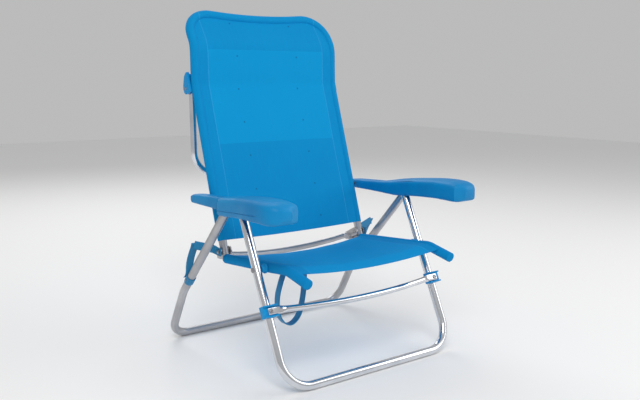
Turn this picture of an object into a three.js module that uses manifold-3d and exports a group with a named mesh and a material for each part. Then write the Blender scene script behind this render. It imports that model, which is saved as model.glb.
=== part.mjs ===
// A folding beach chair: two tube legs joined under the armrests, a seat slung on the front leg,
// a reclining backrest with a swing-out support leg, and notched armrests that set the recline.
// Millimetres, +Z up. The sitter looks along -Y and has +X on the left-hand side.

import * as THREE from 'three';
import { mergeVertices } from 'three/addons/utils/BufferGeometryUtils.js';
import Module from 'manifold-3d';

const wasm = await Module();
wasm.setup();

// ------------------------------------------------------------------ driving dimensions

// Tubes.
const TUBE_R = 11;               // legs, seat rails and backrest: 22 mm tube
const FRONT_BAR_R = 8;           // crossbar between the front legs
const REAR_BAR_R = 8;            // crossbar behind the seat
const STAND_R = 9;               // support leg of the backrest
const TUBE_SIDES = 12;
const BEND_STEPS = 5;            // chords in one bend

// Lanes: distance of each tube's centre from the middle plane.
const BACK_X = 230;
const SEAT_X = 230;
const FRONT_LEG_X = 268;
const REAR_LEG_X = 297;

// Pivots seen from the side, as [y, z]. y is 0 where the line of the front leg meets the ground.
const LEG_PIVOT = [202, 424];        // both legs, under the armrest
const SEAT_PIVOT = [131, 275];       // seat rail on the front leg
const BACK_PIVOT = [347, 277];       // backrest on the seat
const ARM_PIVOT = [391, 414];        // armrest on the backrest
const STAND_PIVOT_Z = 703;           // support leg on the back of the backrest
const STAND_PIVOT_BEHIND = 23;       // its distance behind the backrest tube's centre

// Legs.
const REAR_FOOT_Y = 533;
const REAR_KNEE = [452, 155];        // bend in the side of the rear leg
const FRONT_CORNER_R = 72;
const REAR_CORNER_R = 50;
const KNEE_R = 90;
const LEG_TOP = 9;                   // tube left above the leg pivot
const LEG_PIN_R = 4;
const PIN_GAP = 0.3;                 // clearance of a pin in its hole

// Front crossbar, riveted to saddles on the front of the legs.
const FRONT_BAR_Z = 181;
const FRONT_BAR_BOW = 16;            // forward bow of its middle
const FRONT_BAR_SAG = 8;             // drop of its middle
const FRONT_BAR_END_X = 250;
const SADDLE_W = 38;
const SADDLE_H = 29;
const SADDLE_T = 5;                  // plastic in front of the tube

// Seat rails and fabric.
const SEAT_TIP = [-24, 266];
const SEAT_CREST = [56, 283];        // where the rail turns down at the front
const SEAT_SHOULDER = [338, 258];    // where the round tube ends
const SEAT_TAIL = [398, 254];        // end of the pressed tail, behind the hinge
const TAIL_X = 220.5;
const TAIL_T = 5;
const TAIL_H = 17;
const TAIL_RIVET_Y = 364;
const CREST_R = 60;
const FABRIC_GAP = 0.6;              // clearance of a sleeve round its tube
const SLEEVE_T = 1.4;                // sleeve wall
const SHEET_T = 2.4;                 // fabric between the sleeves
const SEAT_HEM_FRONT_Y = 12;
const SEAT_HEM_REAR_Y = 324;
const SEAT_SLEEVE_END_Y = 335;
const SEAT_SHEET_UP = 9;             // fabric above the rail's centre, beside the rail
const SEAT_SAG = 17;
const SPACER_FLANGE_R = 12;
const SEAT_PIN_R = 4;

// Crossbar behind the seat, with pressed lugs that carry the backrest hinge.
const REAR_BAR_END = [385, 259];
const REAR_BAR_BOW = 34;
const REAR_BAR_SAG = 25;
const LUG_X = 215;
const LUG_T = 4;
const LUG_R = 12;
const HINGE_PIN_R = 3;

// Backrest.
const BACK_SLOPE = 0.323;            // backward run for each unit of rise, below the knee
const BACK_KNEE_Z = 706;             // where the tube turns upright
const BACK_NECK_Z = 815;             // where it leans back again
const NECK_SLOPE = 0.03;
const HEAD_SLOPE = 0.66;
const BACK_TOP_Z = 905;
const BACK_BEND_R = 70;
const BACK_CORNER_R = 80;
const BACK_TOP_DIP = 20;             // fall of the top bar's middle
const BACK_HEM_Z = 303;
const BACK_END_R = 10.5;             // rounded lower end about the hinge
const POCKET_TOP_Z = 550;
const POCKET_HALF_W = 190;
const POCKET_T = 1.6;

// Support leg and its brackets.
const STAND_DROP = 232;              // from its pivot to the middle of its foot
const STAND_CORNER_R = 62;
const STAND_PIN_R = 3;
const BRACKET_BELOW = 14;
const BRACKET_ABOVE = 40;

// Armrests.
const ARM_INNER_X = 249.5;           // inner face of the shell
const ARM_REAR_OUTER_X = 285;        // outer face behind the legs
const ARM_OUTER_X = 320;             // outer face over the legs
const ARM_FRONT_OUTER_X = 333;       // outer face of the hand rest
const ARM_WALL = 4;
const ARM_REAR_Y = 432;
const ARM_FRONT_Y = -28;
const ARM_ROOF_Z = 442.5;            // underside of the shell over the leg tops
const TRACK_T = 4;                   // rack plate between the two leg tubes
const NOTCHES = 7;
const NOTCH_PITCH = 23;
const NOTCH_DEPTH = 2;
const NOTCH_R = 6.5;

// Webbing.
const WEB_W = 22;
const WEB_T = 1.6;
const COLLAR_W = 24;

// Fasteners.
const HEAD_H = 2;
const HEAD_R = 6;
const CLEAR = 0.3;                   // gap kept between pieces that touch

// The chair stands with the middle of its depth on the origin.
const DEPTH_MID_Y = 262;

// ------------------------------------------------------------------ small geometry tools

const SIDES = [['left', 1], ['right', -1]];
const v3 = (x, y, z) => new THREE.Vector3(x, y, z);

const chair = new THREE.Group();
chair.position.y = -DEPTH_MID_Y;

const metal = (color, roughness) => new THREE.MeshStandardMaterial({ color, roughness, metalness: 1 });
const plain = (color, roughness) => new THREE.MeshStandardMaterial({ color, roughness, metalness: 0 });
const polished = metal(0xd8dade, 0.15);
const satin = metal(0xb4b4b6, 0.4);
const steel = metal(0x9a9a9c, 0.3);
const moulding = plain(0x0a74b8, 0.45);
const mesh = plain(0x0888cc, 0.8);
const webbing = plain(0x0784b4, 0.85);

function add(name, geometry, material) {
  const node = new THREE.Mesh(geometry, material);
  node.name = name;
  chair.add(node);
}

// Closed geometry to a manifold solid and back.
function toSolid(geometry) {
  const bare = geometry.clone();
  bare.deleteAttribute('normal');
  bare.deleteAttribute('uv');
  const merged = mergeVertices(bare, 1e-4);
  return new wasm.Manifold(new wasm.Mesh({
    numProp: 3,
    vertProperties: Float32Array.from(merged.attributes.position.array),
    triVerts: Uint32Array.from(merged.index.array),
  }));
}

function toGeometry(solid) {
  const out = solid.getMesh();
  const geometry = new THREE.BufferGeometry();
  geometry.setAttribute('position', new THREE.BufferAttribute(Float32Array.from(out.vertProperties), 3));
  geometry.setIndex(new THREE.BufferAttribute(Uint32Array.from(out.triVerts), 1));
  return geometry;
}

const cut = (base, ...tools) => toGeometry(tools.reduce((s, t) => s.subtract(toSolid(t)), toSolid(base)));
const join = (base, ...others) => toGeometry(others.reduce((s, t) => s.add(toSolid(t)), toSolid(base)));
const common = (a, b) => toGeometry(toSolid(a).intersect(toSolid(b)));

// Faces turned outwards, whichever way round the outline was listed.
function outward(geometry) {
  if (toSolid(geometry).volume() > 0) return geometry;
  const index = geometry.index.array;
  for (let i = 0; i < index.length; i += 3) [index[i + 1], index[i + 2]] = [index[i + 2], index[i + 1]];
  return geometry;
}

// A route through given stations, so that a straight stretch costs one step.
class StationCurve extends THREE.Curve {
  constructor(stations) {
    super();
    this.stations = stations;
  }

  index(u) {
    return Math.round(u * (this.stations.length - 1));
  }

  getPointAt(u) {
    return this.stations[this.index(u)].clone();
  }

  getTangentAt(u) {
    const i = this.index(u);
    const here = this.stations[i];
    const before = this.stations[Math.max(i - 1, 0)];
    const after = this.stations[Math.min(i + 1, this.stations.length - 1)];
    const into = here.clone().sub(before).normalize();
    const out = after.clone().sub(here).normalize();
    return into.add(out).normalize();
  }
}

// Corner points to stations, with each inner corner rounded to its radius.
function rounded(corners, radii, steps = BEND_STEPS) {
  const stations = [corners[0]];
  for (let i = 1; i < corners.length - 1; i += 1) {
    const radius = Array.isArray(radii) ? radii[i - 1] : radii;
    const into = corners[i - 1].clone().sub(corners[i]).normalize();
    const out = corners[i + 1].clone().sub(corners[i]).normalize();
    const half = into.angleTo(out) / 2;
    const centre = into.clone().add(out).normalize().multiplyScalar(radius / Math.sin(half)).add(corners[i]);
    const start = into.multiplyScalar(radius / Math.tan(half)).add(corners[i]).sub(centre);
    const end = out.multiplyScalar(radius / Math.tan(half)).add(corners[i]).sub(centre);
    const turn = start.angleTo(end);
    for (let k = 0; k <= steps; k += 1) {
      const a = (turn * k) / steps;
      const p = start.clone().multiplyScalar(Math.sin(turn - a)).addScaledVector(end, Math.sin(a));
      stations.push(p.divideScalar(Math.sin(turn)).add(centre));
    }
  }
  stations.push(corners[corners.length - 1]);
  return stations;
}

// Round bar along stations. turn sets where the section's flats lie.
function bar(stations, radius, turn = 0, sides = TUBE_SIDES) {
  const section = new THREE.Shape();
  for (let k = 0; k < sides; k += 1) {
    const a = turn + (2 * Math.PI * (k + 0.5)) / sides;
    section[k ? 'lineTo' : 'moveTo'](radius * Math.cos(a), radius * Math.sin(a));
  }
  section.closePath();
  return new THREE.ExtrudeGeometry(section, {
    steps: stations.length - 1,
    extrudePath: new StationCurve(stations),
  });
}

// Cylinder along X between x0 and x1, about a pivot [y, z].
function pinX(pivot, radius, x0, x1, sides = 20) {
  const geometry = new THREE.CylinderGeometry(radius, radius, Math.abs(x1 - x0), sides);
  geometry.rotateZ(Math.PI / 2);
  geometry.translate((x0 + x1) / 2, pivot[0], pivot[1]);
  return geometry;
}

// Solid of revolution along X about a pivot; profile lists [x, radius], first and last on the axis.
function turnedX(pivot, profile, sides = 20) {
  const points = profile.map(([x, r]) => new THREE.Vector2(r, x));
  const geometry = new THREE.LatheGeometry(points, sides);
  geometry.rotateZ(-Math.PI / 2);
  geometry.translate(0, pivot[0], pivot[1]);
  return outward(geometry);
}

// Rivet or bolt along X: shank between two domed heads.
function rivetX(pivot, shank, head, x0, x1, height = HEAD_H) {
  const s = Math.sign(x1 - x0);
  const rim = 0.6 * head;
  const profile = [[x0 - s * height, 0], [x0 - s * height, rim], [x0, head], [x0, shank],
    [x1, shank], [x1, head], [x1 + s * height, rim], [x1 + s * height, 0]];
  return turnedX(pivot, profile);
}

// Side outline [[y, z], ...] given thickness between x0 and x1.
function plateX(outline, x0, x1) {
  const shape = new THREE.Shape(outline.map(([y, z]) => new THREE.Vector2(y, z)));
  const geometry = new THREE.ExtrudeGeometry(shape, { depth: Math.abs(x1 - x0), bevelEnabled: false });
  geometry.applyMatrix4(new THREE.Matrix4().makeBasis(v3(0, 1, 0), v3(0, 0, 1), v3(1, 0, 0)));
  geometry.translate(Math.min(x0, x1), 0, 0);
  return geometry;
}

// Outline round two circles, for links, lugs and straps seen from the side.
function linkOutline(a, ra, b, rb, steps = 8) {
  const along = Math.atan2(b[1] - a[1], b[0] - a[0]);
  const lean = Math.acos((ra - rb) / Math.hypot(b[0] - a[0], b[1] - a[1]));
  const outline = [];
  for (let k = 0; k <= steps; k += 1) {
    const t = along + lean + ((2 * Math.PI - 2 * lean) * k) / steps;
    outline.push([a[0] + ra * Math.cos(t), a[1] + ra * Math.sin(t)]);
  }
  for (let k = 0; k <= steps; k += 1) {
    const t = along - lean + (2 * lean * k) / steps;
    outline.push([b[0] + rb * Math.cos(t), b[1] + rb * Math.sin(t)]);
  }
  return outline;
}

// Skin over rings of points, all rings alike in count, closed by flat ends.
function loft(rings) {
  const count = rings[0].length;
  const points = rings.flat();
  const index = [];
  for (let r = 0; r < rings.length - 1; r += 1) {
    for (let k = 0; k < count; k += 1) {
      const a = r * count + k;
      const b = r * count + ((k + 1) % count);
      index.push(a, b, b + count, a, b + count, a + count);
    }
  }
  const last = (rings.length - 1) * count;
  for (let k = 0; k < count / 2 - 1; k += 1) {
    const mate = count - 1 - k;
    index.push(k, mate - 1, k + 1, k, mate, mate - 1);
    index.push(last + k, last + k + 1, last + mate - 1, last + k, last + mate - 1, last + mate);
  }
  const geometry = new THREE.BufferGeometry().setFromPoints(points);
  geometry.setIndex(index);
  return outward(geometry);
}

// Mirror copy of a geometry across the middle plane, still facing outwards.
function mirrored(geometry) {
  const copy = toSolid(geometry);
  return toGeometry(copy.scale([-1, 1, 1]));
}

const pick = (geometry, side) => (side > 0 ? geometry : mirrored(geometry));

// ------------------------------------------------------------------ frame lines

const FACET_R = TUBE_R * Math.cos(Math.PI / TUBE_SIDES);   // centre to flat of the faceted tube
const frontLean = LEG_PIVOT[0] / LEG_PIVOT[1];
const frontTilt = Math.atan(frontLean);
const onFrontLeg = (z) => z * frontLean;
const frontUp = v3(0, Math.sin(frontTilt), Math.cos(frontTilt));
const frontOut = v3(0, -Math.cos(frontTilt), Math.sin(frontTilt));   // square off the leg, to the front

const rearRun = [REAR_KNEE[0] - LEG_PIVOT[0], REAR_KNEE[1] - LEG_PIVOT[1]];
const rearLength = Math.hypot(...rearRun);
const rearTop = [0, 1].map((k) => LEG_PIVOT[k] - (LEG_TOP * rearRun[k]) / rearLength);
const rearTilt = Math.atan2(REAR_FOOT_Y - REAR_KNEE[0], REAR_KNEE[1] - FACET_R);

// Points on the seat rail's centre line.
const railCorners = [SEAT_TIP, SEAT_CREST, SEAT_PIVOT, SEAT_SHOULDER];
const railStations = (x) => rounded(railCorners.map(([y, z]) => v3(x, y, z)), [CREST_R, 4 * CREST_R]);

// Side profile of the backrest tube, from below the hinge to the top, as rounded stations.
const backLow = [BACK_PIVOT[0] - BACK_END_R * 2 * BACK_SLOPE, BACK_PIVOT[1] - BACK_END_R * 2];
const backKnee = [BACK_PIVOT[0] + (BACK_KNEE_Z - BACK_PIVOT[1]) * BACK_SLOPE, BACK_KNEE_Z];
const backNeck = [backKnee[0] + (BACK_NECK_Z - BACK_KNEE_Z) * NECK_SLOPE, BACK_NECK_Z];
const backTop = [backNeck[0] + (BACK_TOP_Z - BACK_NECK_Z) * HEAD_SLOPE, BACK_TOP_Z];
const backLine = rounded([backLow, backKnee, backNeck, backTop].map(([y, z]) => v3(0, y, z)), BACK_BEND_R);
const backRun = [0];
for (let i = 1; i < backLine.length; i += 1) {
  backRun.push(backRun[i - 1] + backLine[i].distanceTo(backLine[i - 1]));
}
const BACK_LENGTH = backRun[backRun.length - 1];

// Point of the bent backrest surface at x and at a distance along its side profile.
function backPoint(x, run, behind = 0) {
  let i = 1;
  while (i < backRun.length - 1 && backRun[i] < run) i += 1;
  const t = (run - backRun[i - 1]) / (backRun[i] - backRun[i - 1]);
  const along = backLine[i].clone().sub(backLine[i - 1]);
  const square = v3(0, along.z, -along.y).normalize();
  return backLine[i - 1].clone().addScaledVector(along, t).addScaledVector(square, behind).setX(x);
}

const backRunAt = (z) => backRun[0] + (z - backLow[1]) * Math.hypot(1, BACK_SLOPE);
const backDip = (x) => BACK_TOP_DIP * (1 - (x / BACK_X) ** 2);
const hemRun = backRunAt(BACK_HEM_Z);

// Stations of the backrest tube from startRun on one side, over the top and down the other.
function backStations(startRun) {
  const straight = backRun.filter((r) => r > startRun + 5 && r < BACK_LENGTH - BACK_CORNER_R - 5);
  const sideRuns = [startRun, ...straight];
  const half = sideRuns.map((run) => [BACK_X, run]);
  for (let k = 0; k <= 2 * BEND_STEPS; k += 1) {
    const a = (Math.PI / 2) * (k / (2 * BEND_STEPS));
    half.push([BACK_X - BACK_CORNER_R * (1 - Math.cos(a)), BACK_LENGTH - BACK_CORNER_R * (1 - Math.sin(a))]);
  }
  half.push([BACK_X * 0.33, BACK_LENGTH], [0, BACK_LENGTH]);
  const whole = [...half, ...half.slice(0, -1).reverse().map(([x, run]) => [-x, run])];
  return whole.map(([x, run]) => backPoint(x, run - backDip(x)));
}

// ------------------------------------------------------------------ legs

const PIN_NEAR_X = 205;              // pins and their holes lie between these two planes, on each side
const PIN_FAR_X = 330;
const pinHole = (pivot, radius) => join(
  pinX(pivot, radius + PIN_GAP, PIN_NEAR_X, PIN_FAR_X),
  pinX(pivot, radius + PIN_GAP, -PIN_NEAR_X, -PIN_FAR_X),
);

// Cylinder from a point along a direction.
function rod(from, direction, length, radius, sides = 20) {
  const geometry = new THREE.CylinderGeometry(radius, radius, length, sides);
  geometry.translate(0, length / 2, 0);
  geometry.applyQuaternion(new THREE.Quaternion().setFromUnitVectors(v3(0, 1, 0), direction));
  geometry.translate(from.x, from.y, from.z);
  return geometry;
}

const RIVET_R = 2.5;
const BAR_END_T = 3.6;
const BAR_END_H = 19;
const saddleFace = TUBE_R + SADDLE_T;
const barFront = saddleFace + CLEAR + BAR_END_T;
const onLeg = (side, z, out) => v3(side * FRONT_LEG_X, onFrontLeg(z), z).addScaledVector(frontOut, out);

const frontFoot = [onFrontLeg(FACET_R), FACET_R];
const frontTop = [LEG_PIVOT[0] + LEG_TOP * Math.sin(frontTilt), LEG_PIVOT[1] + LEG_TOP * Math.cos(frontTilt)];
const frontCorners = [
  v3(FRONT_LEG_X, ...frontTop), v3(FRONT_LEG_X, ...frontFoot),
  v3(-FRONT_LEG_X, ...frontFoot), v3(-FRONT_LEG_X, ...frontTop),
];
add('front_leg_frame', cut(
  bar(rounded(frontCorners, FRONT_CORNER_R, 2 * BEND_STEPS), TUBE_R, -frontTilt),
  pinHole(LEG_PIVOT, LEG_PIN_R),
  pinHole(SEAT_PIVOT, SEAT_PIN_R),
  ...SIDES.map(([, s]) => rod(onLeg(s, FRONT_BAR_Z, -40), frontOut, 100, RIVET_R + PIN_GAP)),
), polished);

const rearCorners = [
  v3(REAR_LEG_X, ...rearTop), v3(REAR_LEG_X, ...REAR_KNEE), v3(REAR_LEG_X, REAR_FOOT_Y, FACET_R),
  v3(-REAR_LEG_X, REAR_FOOT_Y, FACET_R), v3(-REAR_LEG_X, ...REAR_KNEE), v3(-REAR_LEG_X, ...rearTop),
];
const rearRadii = [KNEE_R, REAR_CORNER_R, REAR_CORNER_R, KNEE_R];
add('rear_leg_frame', cut(
  bar(rounded(rearCorners, rearRadii), TUBE_R, rearTilt),
  pinHole(LEG_PIVOT, LEG_PIN_R),
), satin);

// Flatten a bar's end about its centre line: amount runs from 0 (round) to 1 (pressed).
function pressed(geometry, centreOf, amountOf, thinAxis, thinHalf, wideHalf, radius, drift = 0) {
  const position = geometry.attributes.position;
  const p = v3(0, 0, 0);
  for (let i = 0; i < position.count; i += 1) {
    p.fromBufferAttribute(position, i);
    const amount = THREE.MathUtils.clamp(amountOf(p), 0, 1);
    const centre = centreOf(p);
    const off = p.clone().sub(centre);
    const thin = off.dot(thinAxis);
    const wide = off.clone().addScaledVector(thinAxis, -thin);
    const squeezed = thin * THREE.MathUtils.lerp(1, thinHalf / radius, amount) + drift * amount;
    p.copy(centre).addScaledVector(thinAxis, squeezed);
    p.addScaledVector(wide, THREE.MathUtils.lerp(1, wideHalf / radius, amount));
    position.setXYZ(i, p.x, p.y, p.z);
  }
  return geometry;
}

// Bar end rounded about a pivot [y, z]; aim is the way from the pivot to the end, seen from the side.
function roundedEnd(geometry, pivot, aim, radius, x0 = -2 * REAR_LEG_X, x1 = 2 * REAR_LEG_X) {
  const length = Math.hypot(...aim);
  const [ay, az] = [aim[0] / length, aim[1] / length];
  const corner = (along, across) => [
    pivot[0] + ay * along - az * across,
    pivot[1] + az * along + ay * across,
  ];
  const block = plateX([corner(0, -20), corner(40, -20), corner(40, 20), corner(0, 20)], x0, x1);
  return cut(geometry, cut(block, pinX(pivot, radius, x0 - 1, x1 + 1, 24)));
}

const barEnd = onLeg(1, FRONT_BAR_Z, saddleFace + CLEAR + BAR_END_T / 2);
const barCentre = (x) => {
  const bow = 1 - (Math.min(Math.abs(x), FRONT_BAR_END_X) / FRONT_BAR_END_X) ** 2;
  return v3(x, barEnd.y - FRONT_BAR_BOW * bow, barEnd.z - FRONT_BAR_SAG * bow);
};
const BAR_PRESS = 22;                // length over which the bar turns from round to flat
const barPressX = FRONT_BAR_END_X - BAR_PRESS - 6;
const BAR_STEPS = 10;
const barRound = [...Array(BAR_STEPS + 1).keys()].map((k) => (k / BAR_STEPS) * barPressX);
const barHalf = [...barRound, barPressX + BAR_PRESS, FRONT_LEG_X + 8];
const barWhole = [...barHalf.slice(1).reverse().map((x) => -x), ...barHalf];
add('front_crossbar', cut(
  pressed(
    bar(barWhole.map(barCentre), FRONT_BAR_R),
    (p) => barCentre(p.x),
    (p) => (Math.abs(p.x) - barPressX) / BAR_PRESS,
    frontOut, BAR_END_T / 2, BAR_END_H / 2, FRONT_BAR_R,
  ),
  ...SIDES.map(([, s]) => rod(onLeg(s, FRONT_BAR_Z, -40), frontOut, 100, RIVET_R + PIN_GAP)),
), polished);

// Saddle: plastic block over the front half of the leg, with a lip above and below the bar's end.
function saddle(side) {
  const half = SADDLE_H / 2;
  const face = saddleFace;
  const lip = face + CLEAR + BAR_END_T + 2;
  const outline = [[0, -half], [lip, -half], [lip + 1, -half + 2], [lip, -half + 4], [face, -half + 4],
    [face, half - 4], [lip, half - 4], [lip + 1, half - 2], [lip, half], [0, half]];
  const block = plateX(outline.map(([out, up]) => [-out, up]), -SADDLE_W / 2, SADDLE_W / 2);
  block.rotateX(-frontTilt);
  const place = onLeg(side, FRONT_BAR_Z, 0);
  block.translate(place.x, place.y, place.z);
  return cut(
    block,
    rod(place.clone().addScaledVector(frontUp, -SADDLE_H), frontUp, 2 * SADDLE_H, TUBE_R + CLEAR, 24),
    rod(onLeg(side, FRONT_BAR_Z, -40), frontOut, 100, RIVET_R + PIN_GAP),
  );
}

// Rivet through the bar's end, the saddle and the leg.
function saddleRivet(side) {
  const geometry = rivetX([0, 0], RIVET_R, HEAD_R, -TUBE_R - CLEAR, barFront + CLEAR);
  geometry.applyQuaternion(new THREE.Quaternion().setFromUnitVectors(v3(1, 0, 0), frontOut));
  const place = onLeg(side, FRONT_BAR_Z, 0);
  geometry.translate(place.x, place.y, place.z);
  return geometry;
}

for (const [name, side] of SIDES) {
  add(`saddle_${name}`, saddle(side), moulding);
  add(`saddle_rivet_${name}`, saddleRivet(side), steel);
}

// Pins that join both legs under the armrests.
for (const [name, side] of SIDES) {
  const inner = FRONT_LEG_X - TUBE_R - CLEAR;
  const outer = REAR_LEG_X + TUBE_R + CLEAR;
  add(`leg_pivot_pin_${name}`, rivetX(LEG_PIVOT, LEG_PIN_R, HEAD_R, side * inner, side * outer), steel);
}

// ------------------------------------------------------------------ seat

const slopeAt = (a, b) => (b[1] - a[1]) / (b[0] - a[0]);
const tailSlope = slopeAt(SEAT_SHOULDER, SEAT_TAIL);
const tailCentre = (p) => v3(p.x, p.y, SEAT_SHOULDER[1] + (p.y - SEAT_SHOULDER[0]) * tailSlope);
const tailPressStart = SEAT_SLEEVE_END_Y - 4;
const tailRivet = [TAIL_RIVET_Y, SEAT_SHOULDER[1] + (TAIL_RIVET_Y - SEAT_SHOULDER[0]) * tailSlope];
const railLine = railStations(0);
const tailMiddle = SEAT_TAIL[0] - TAIL_H / 2;

// Seat rail: a bent tube with a domed tip and a tail pressed flat behind the sleeve.
function seatRail(side) {
  const line = railStations(side * SEAT_X);
  const tail = [SEAT_SLEEVE_END_Y + 14, SEAT_TAIL[0] + 3].map((y) => tailCentre(v3(side * SEAT_X, y, 0)));
  const back = line.filter((p) => p.y < tailPressStart - 5);
  back.push(tailCentre(v3(side * SEAT_X, tailPressStart, 0)), ...tail);
  const geometry = pressed(
    bar(back, TUBE_R),
    (p) => tailCentre(p).setX(side * SEAT_X),
    (p) => (p.y > tailPressStart - 1 ? (p.y - tailPressStart) / (tail[0].y - tailPressStart) : 0),
    v3(side, 0, 0), TAIL_T / 2, TAIL_H / 2, TUBE_R, TAIL_X - SEAT_X,
  );
  return cut(
    roundedEnd(geometry, [tailMiddle, tailCentre(v3(0, tailMiddle, 0)).z], [1, tailSlope], TAIL_H / 2),
    pinHole(SEAT_PIVOT, SEAT_PIN_R),
    pinHole(tailRivet, RIVET_R),
  );
}

// Crossbar behind the seat: bowed back and down, its ends bent forward and pressed into lugs.
const bowed = (x) => {
  const t = 1 - (x / LUG_X) ** 2;
  return v3(x, REAR_BAR_END[0] + REAR_BAR_BOW * t, REAR_BAR_END[1] - REAR_BAR_SAG * t);
};
const lugPressStart = REAR_BAR_END[0] + 3;
function rearCrossbar() {
  const hinge = v3(LUG_X, BACK_PIVOT[0] - LUG_R, BACK_PIVOT[1] + 3);
  const corner = bowed(LUG_X);
  const half = rounded([hinge, v3(LUG_X, corner.y + 4, corner.z), bowed(LUG_X * 0.8)], 16);
  half.splice(1, 0, v3(LUG_X, lugPressStart - 24, corner.z + 10), v3(LUG_X, lugPressStart - 14, corner.z + 6));
  half.push(...[0.6, 0.4, 0.2].map((t) => bowed(LUG_X * t)));
  const whole = [...half, bowed(0), ...half.slice().reverse().map((p) => p.clone().setX(-p.x))];
  const lugFace = LUG_X + LUG_T / 2;
  const [front, rear, low, high] = [BACK_PIVOT[0] - 40, SEAT_TAIL[0] + 40, BACK_PIVOT[1] - 80, BACK_PIVOT[1] + 50];
  const box = (y) => [[front, low], [y, low], [y, high], [front, high]];
  return cut(
    bar(whole, REAR_BAR_R),
    ...SIDES.map(([, s]) => plateX(box(lugPressStart), s * (LUG_X - 12), s * (LUG_X + 12))),
    ...SIDES.map(([, s]) => plateX(box(rear), s * lugFace, s * (lugFace + 12))),
  );
}
const lugShape = linkOutline(BACK_PIVOT, LUG_R, [lugPressStart + 4, REAR_BAR_END[1]], REAR_BAR_R + 2);
const lug = (s) => cut(
  plateX(lugShape, s * (LUG_X - LUG_T / 2), s * (LUG_X + LUG_T / 2)),
  pinHole(BACK_PIVOT, HINGE_PIN_R),
  pinHole(tailRivet, RIVET_R),
);
add('rear_crossbar', join(rearCrossbar(), lug(1), lug(-1)), satin);

// Seat fabric: a sleeve on each rail and a sagging panel between them.
const railHeight = (y) => {
  let i = 1;
  while (i < railLine.length - 1 && railLine[i].y < y) i += 1;
  return THREE.MathUtils.mapLinear(y, railLine[i - 1].y, railLine[i].y, railLine[i - 1].z, railLine[i].z);
};
function panelRing(place, x, half) {
  const across = [-1, -0.86, -0.6, -0.3, 0, 0.3, 0.6, 0.86, 1].map((t) => t * x);
  return [...across.map((a) => place(a, -half)), ...across.reverse().map((a) => place(a, half))];
}
const seatPanel = loft([SEAT_HEM_FRONT_Y, 30, 45, 56, 67, 82, 140, 230, SEAT_HEM_REAR_Y].map((y) => panelRing(
  (x, up) => v3(x, y, railHeight(y) + up + SEAT_SHEET_UP - SEAT_SAG * (1 - (x / SEAT_X) ** 2)),
  SEAT_X - 3, SHEET_T / 2,
)));
const sleeveLine = (side, front, rear) => {
  const line = railStations(side * SEAT_X).filter((p) => p.y > front + 1 && p.y < rear - 5);
  return [
    v3(side * SEAT_X, front, railHeight(Math.max(front, SEAT_TIP[0]))),
    ...line,
    v3(side * SEAT_X, rear, railHeight(rear)),
  ];
};
const SLEEVE_IN = TUBE_R + FABRIC_GAP;
const SLEEVE_OUT = SLEEVE_IN + SLEEVE_T;
const sleeveTip = SEAT_TIP[0] - FABRIC_GAP;
add('seat_cover', cut(
  join(
    seatPanel,
    ...SIDES.map(([, s]) => bar(sleeveLine(s, sleeveTip - SLEEVE_T, SEAT_SLEEVE_END_Y), SLEEVE_OUT)),
  ),
  ...SIDES.map(([, s]) => bar(sleeveLine(s, sleeveTip, SEAT_SLEEVE_END_Y + 9), SLEEVE_IN)),
  pinHole(SEAT_PIVOT, SEAT_PIN_R),
), mesh);

for (const [name, side] of SIDES) {
  const inner = SEAT_X - SLEEVE_OUT - CLEAR;
  const outer = FRONT_LEG_X + TUBE_R + CLEAR;
  const sleeve = SEAT_X + SLEEVE_OUT + CLEAR;
  const spacer = turnedX(SEAT_PIVOT, [[sleeve, 0], [sleeve, SPACER_FLANGE_R], [sleeve + 4, SPACER_FLANGE_R],
    [sleeve + 6, 9], [FRONT_LEG_X - TUBE_R - CLEAR, 9], [FRONT_LEG_X - TUBE_R - CLEAR, 0]], 24);
  add(`seat_rail_${name}`, seatRail(side), satin);
  add(`seat_pivot_bolt_${name}`, rivetX(SEAT_PIVOT, SEAT_PIN_R, 5, side * inner, side * outer), steel);
  add(`seat_spacer_${name}`, pick(cut(spacer, pinHole(SEAT_PIVOT, SEAT_PIN_R)), side), moulding);
  add(`tail_rivet_${name}`, rivetX(tailRivet, RIVET_R, 5,
    side * (LUG_X - LUG_T / 2 - CLEAR), side * (TAIL_X + TAIL_T / 2 + CLEAR)), steel);
}

// ------------------------------------------------------------------ backrest

const backFrame = cut(
  roundedEnd(bar(backStations(0), TUBE_R), BACK_PIVOT, [-BACK_SLOPE, -1], BACK_END_R),
  pinHole(BACK_PIVOT, HINGE_PIN_R),
  pinHole(ARM_PIVOT, STAND_PIN_R),
);
add('backrest_frame', backFrame, satin);

// Fabric: a sleeve all round the tube and a panel between, drawn a little to the rear.
const PANEL_AHEAD = 8;
const PANEL_SLACK = 7;
const panelRow = (fall, x, half) => panelRing((a, off) => {
  const behind = off - PANEL_AHEAD + PANEL_SLACK * (1 - (a / BACK_X) ** 2);
  return backPoint(a, BACK_LENGTH - fall - backDip(a) * Math.max(0, 1 - fall / BACK_LENGTH), behind);
}, x, half);
const cornerRows = [0, 0.3, 0.6, 0.9, 1.2].map((a) => [
  BACK_CORNER_R * (1 - Math.cos(a)), BACK_X - BACK_CORNER_R * (1 - Math.sin(a)),
]);
const straightRows = backRun.filter((r) => r > hemRun + 5 && r < BACK_LENGTH - BACK_CORNER_R - 5);
const backRows = [
  ...cornerRows,
  ...straightRows.reverse().map((r) => [BACK_LENGTH - r, BACK_X]),
  [BACK_LENGTH - hemRun, BACK_X],
];
const backPanel = loft(backRows.reverse().map(([fall, x]) => panelRow(fall, x - 3, SHEET_T / 2)));
const backHoles = [pinHole(ARM_PIVOT, STAND_PIN_R)];
add('backrest_cover', cut(
  join(bar(backStations(hemRun), SLEEVE_OUT), backPanel),
  bar(backStations(hemRun - 5), SLEEVE_IN),
  ...backHoles,
), mesh);

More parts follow.
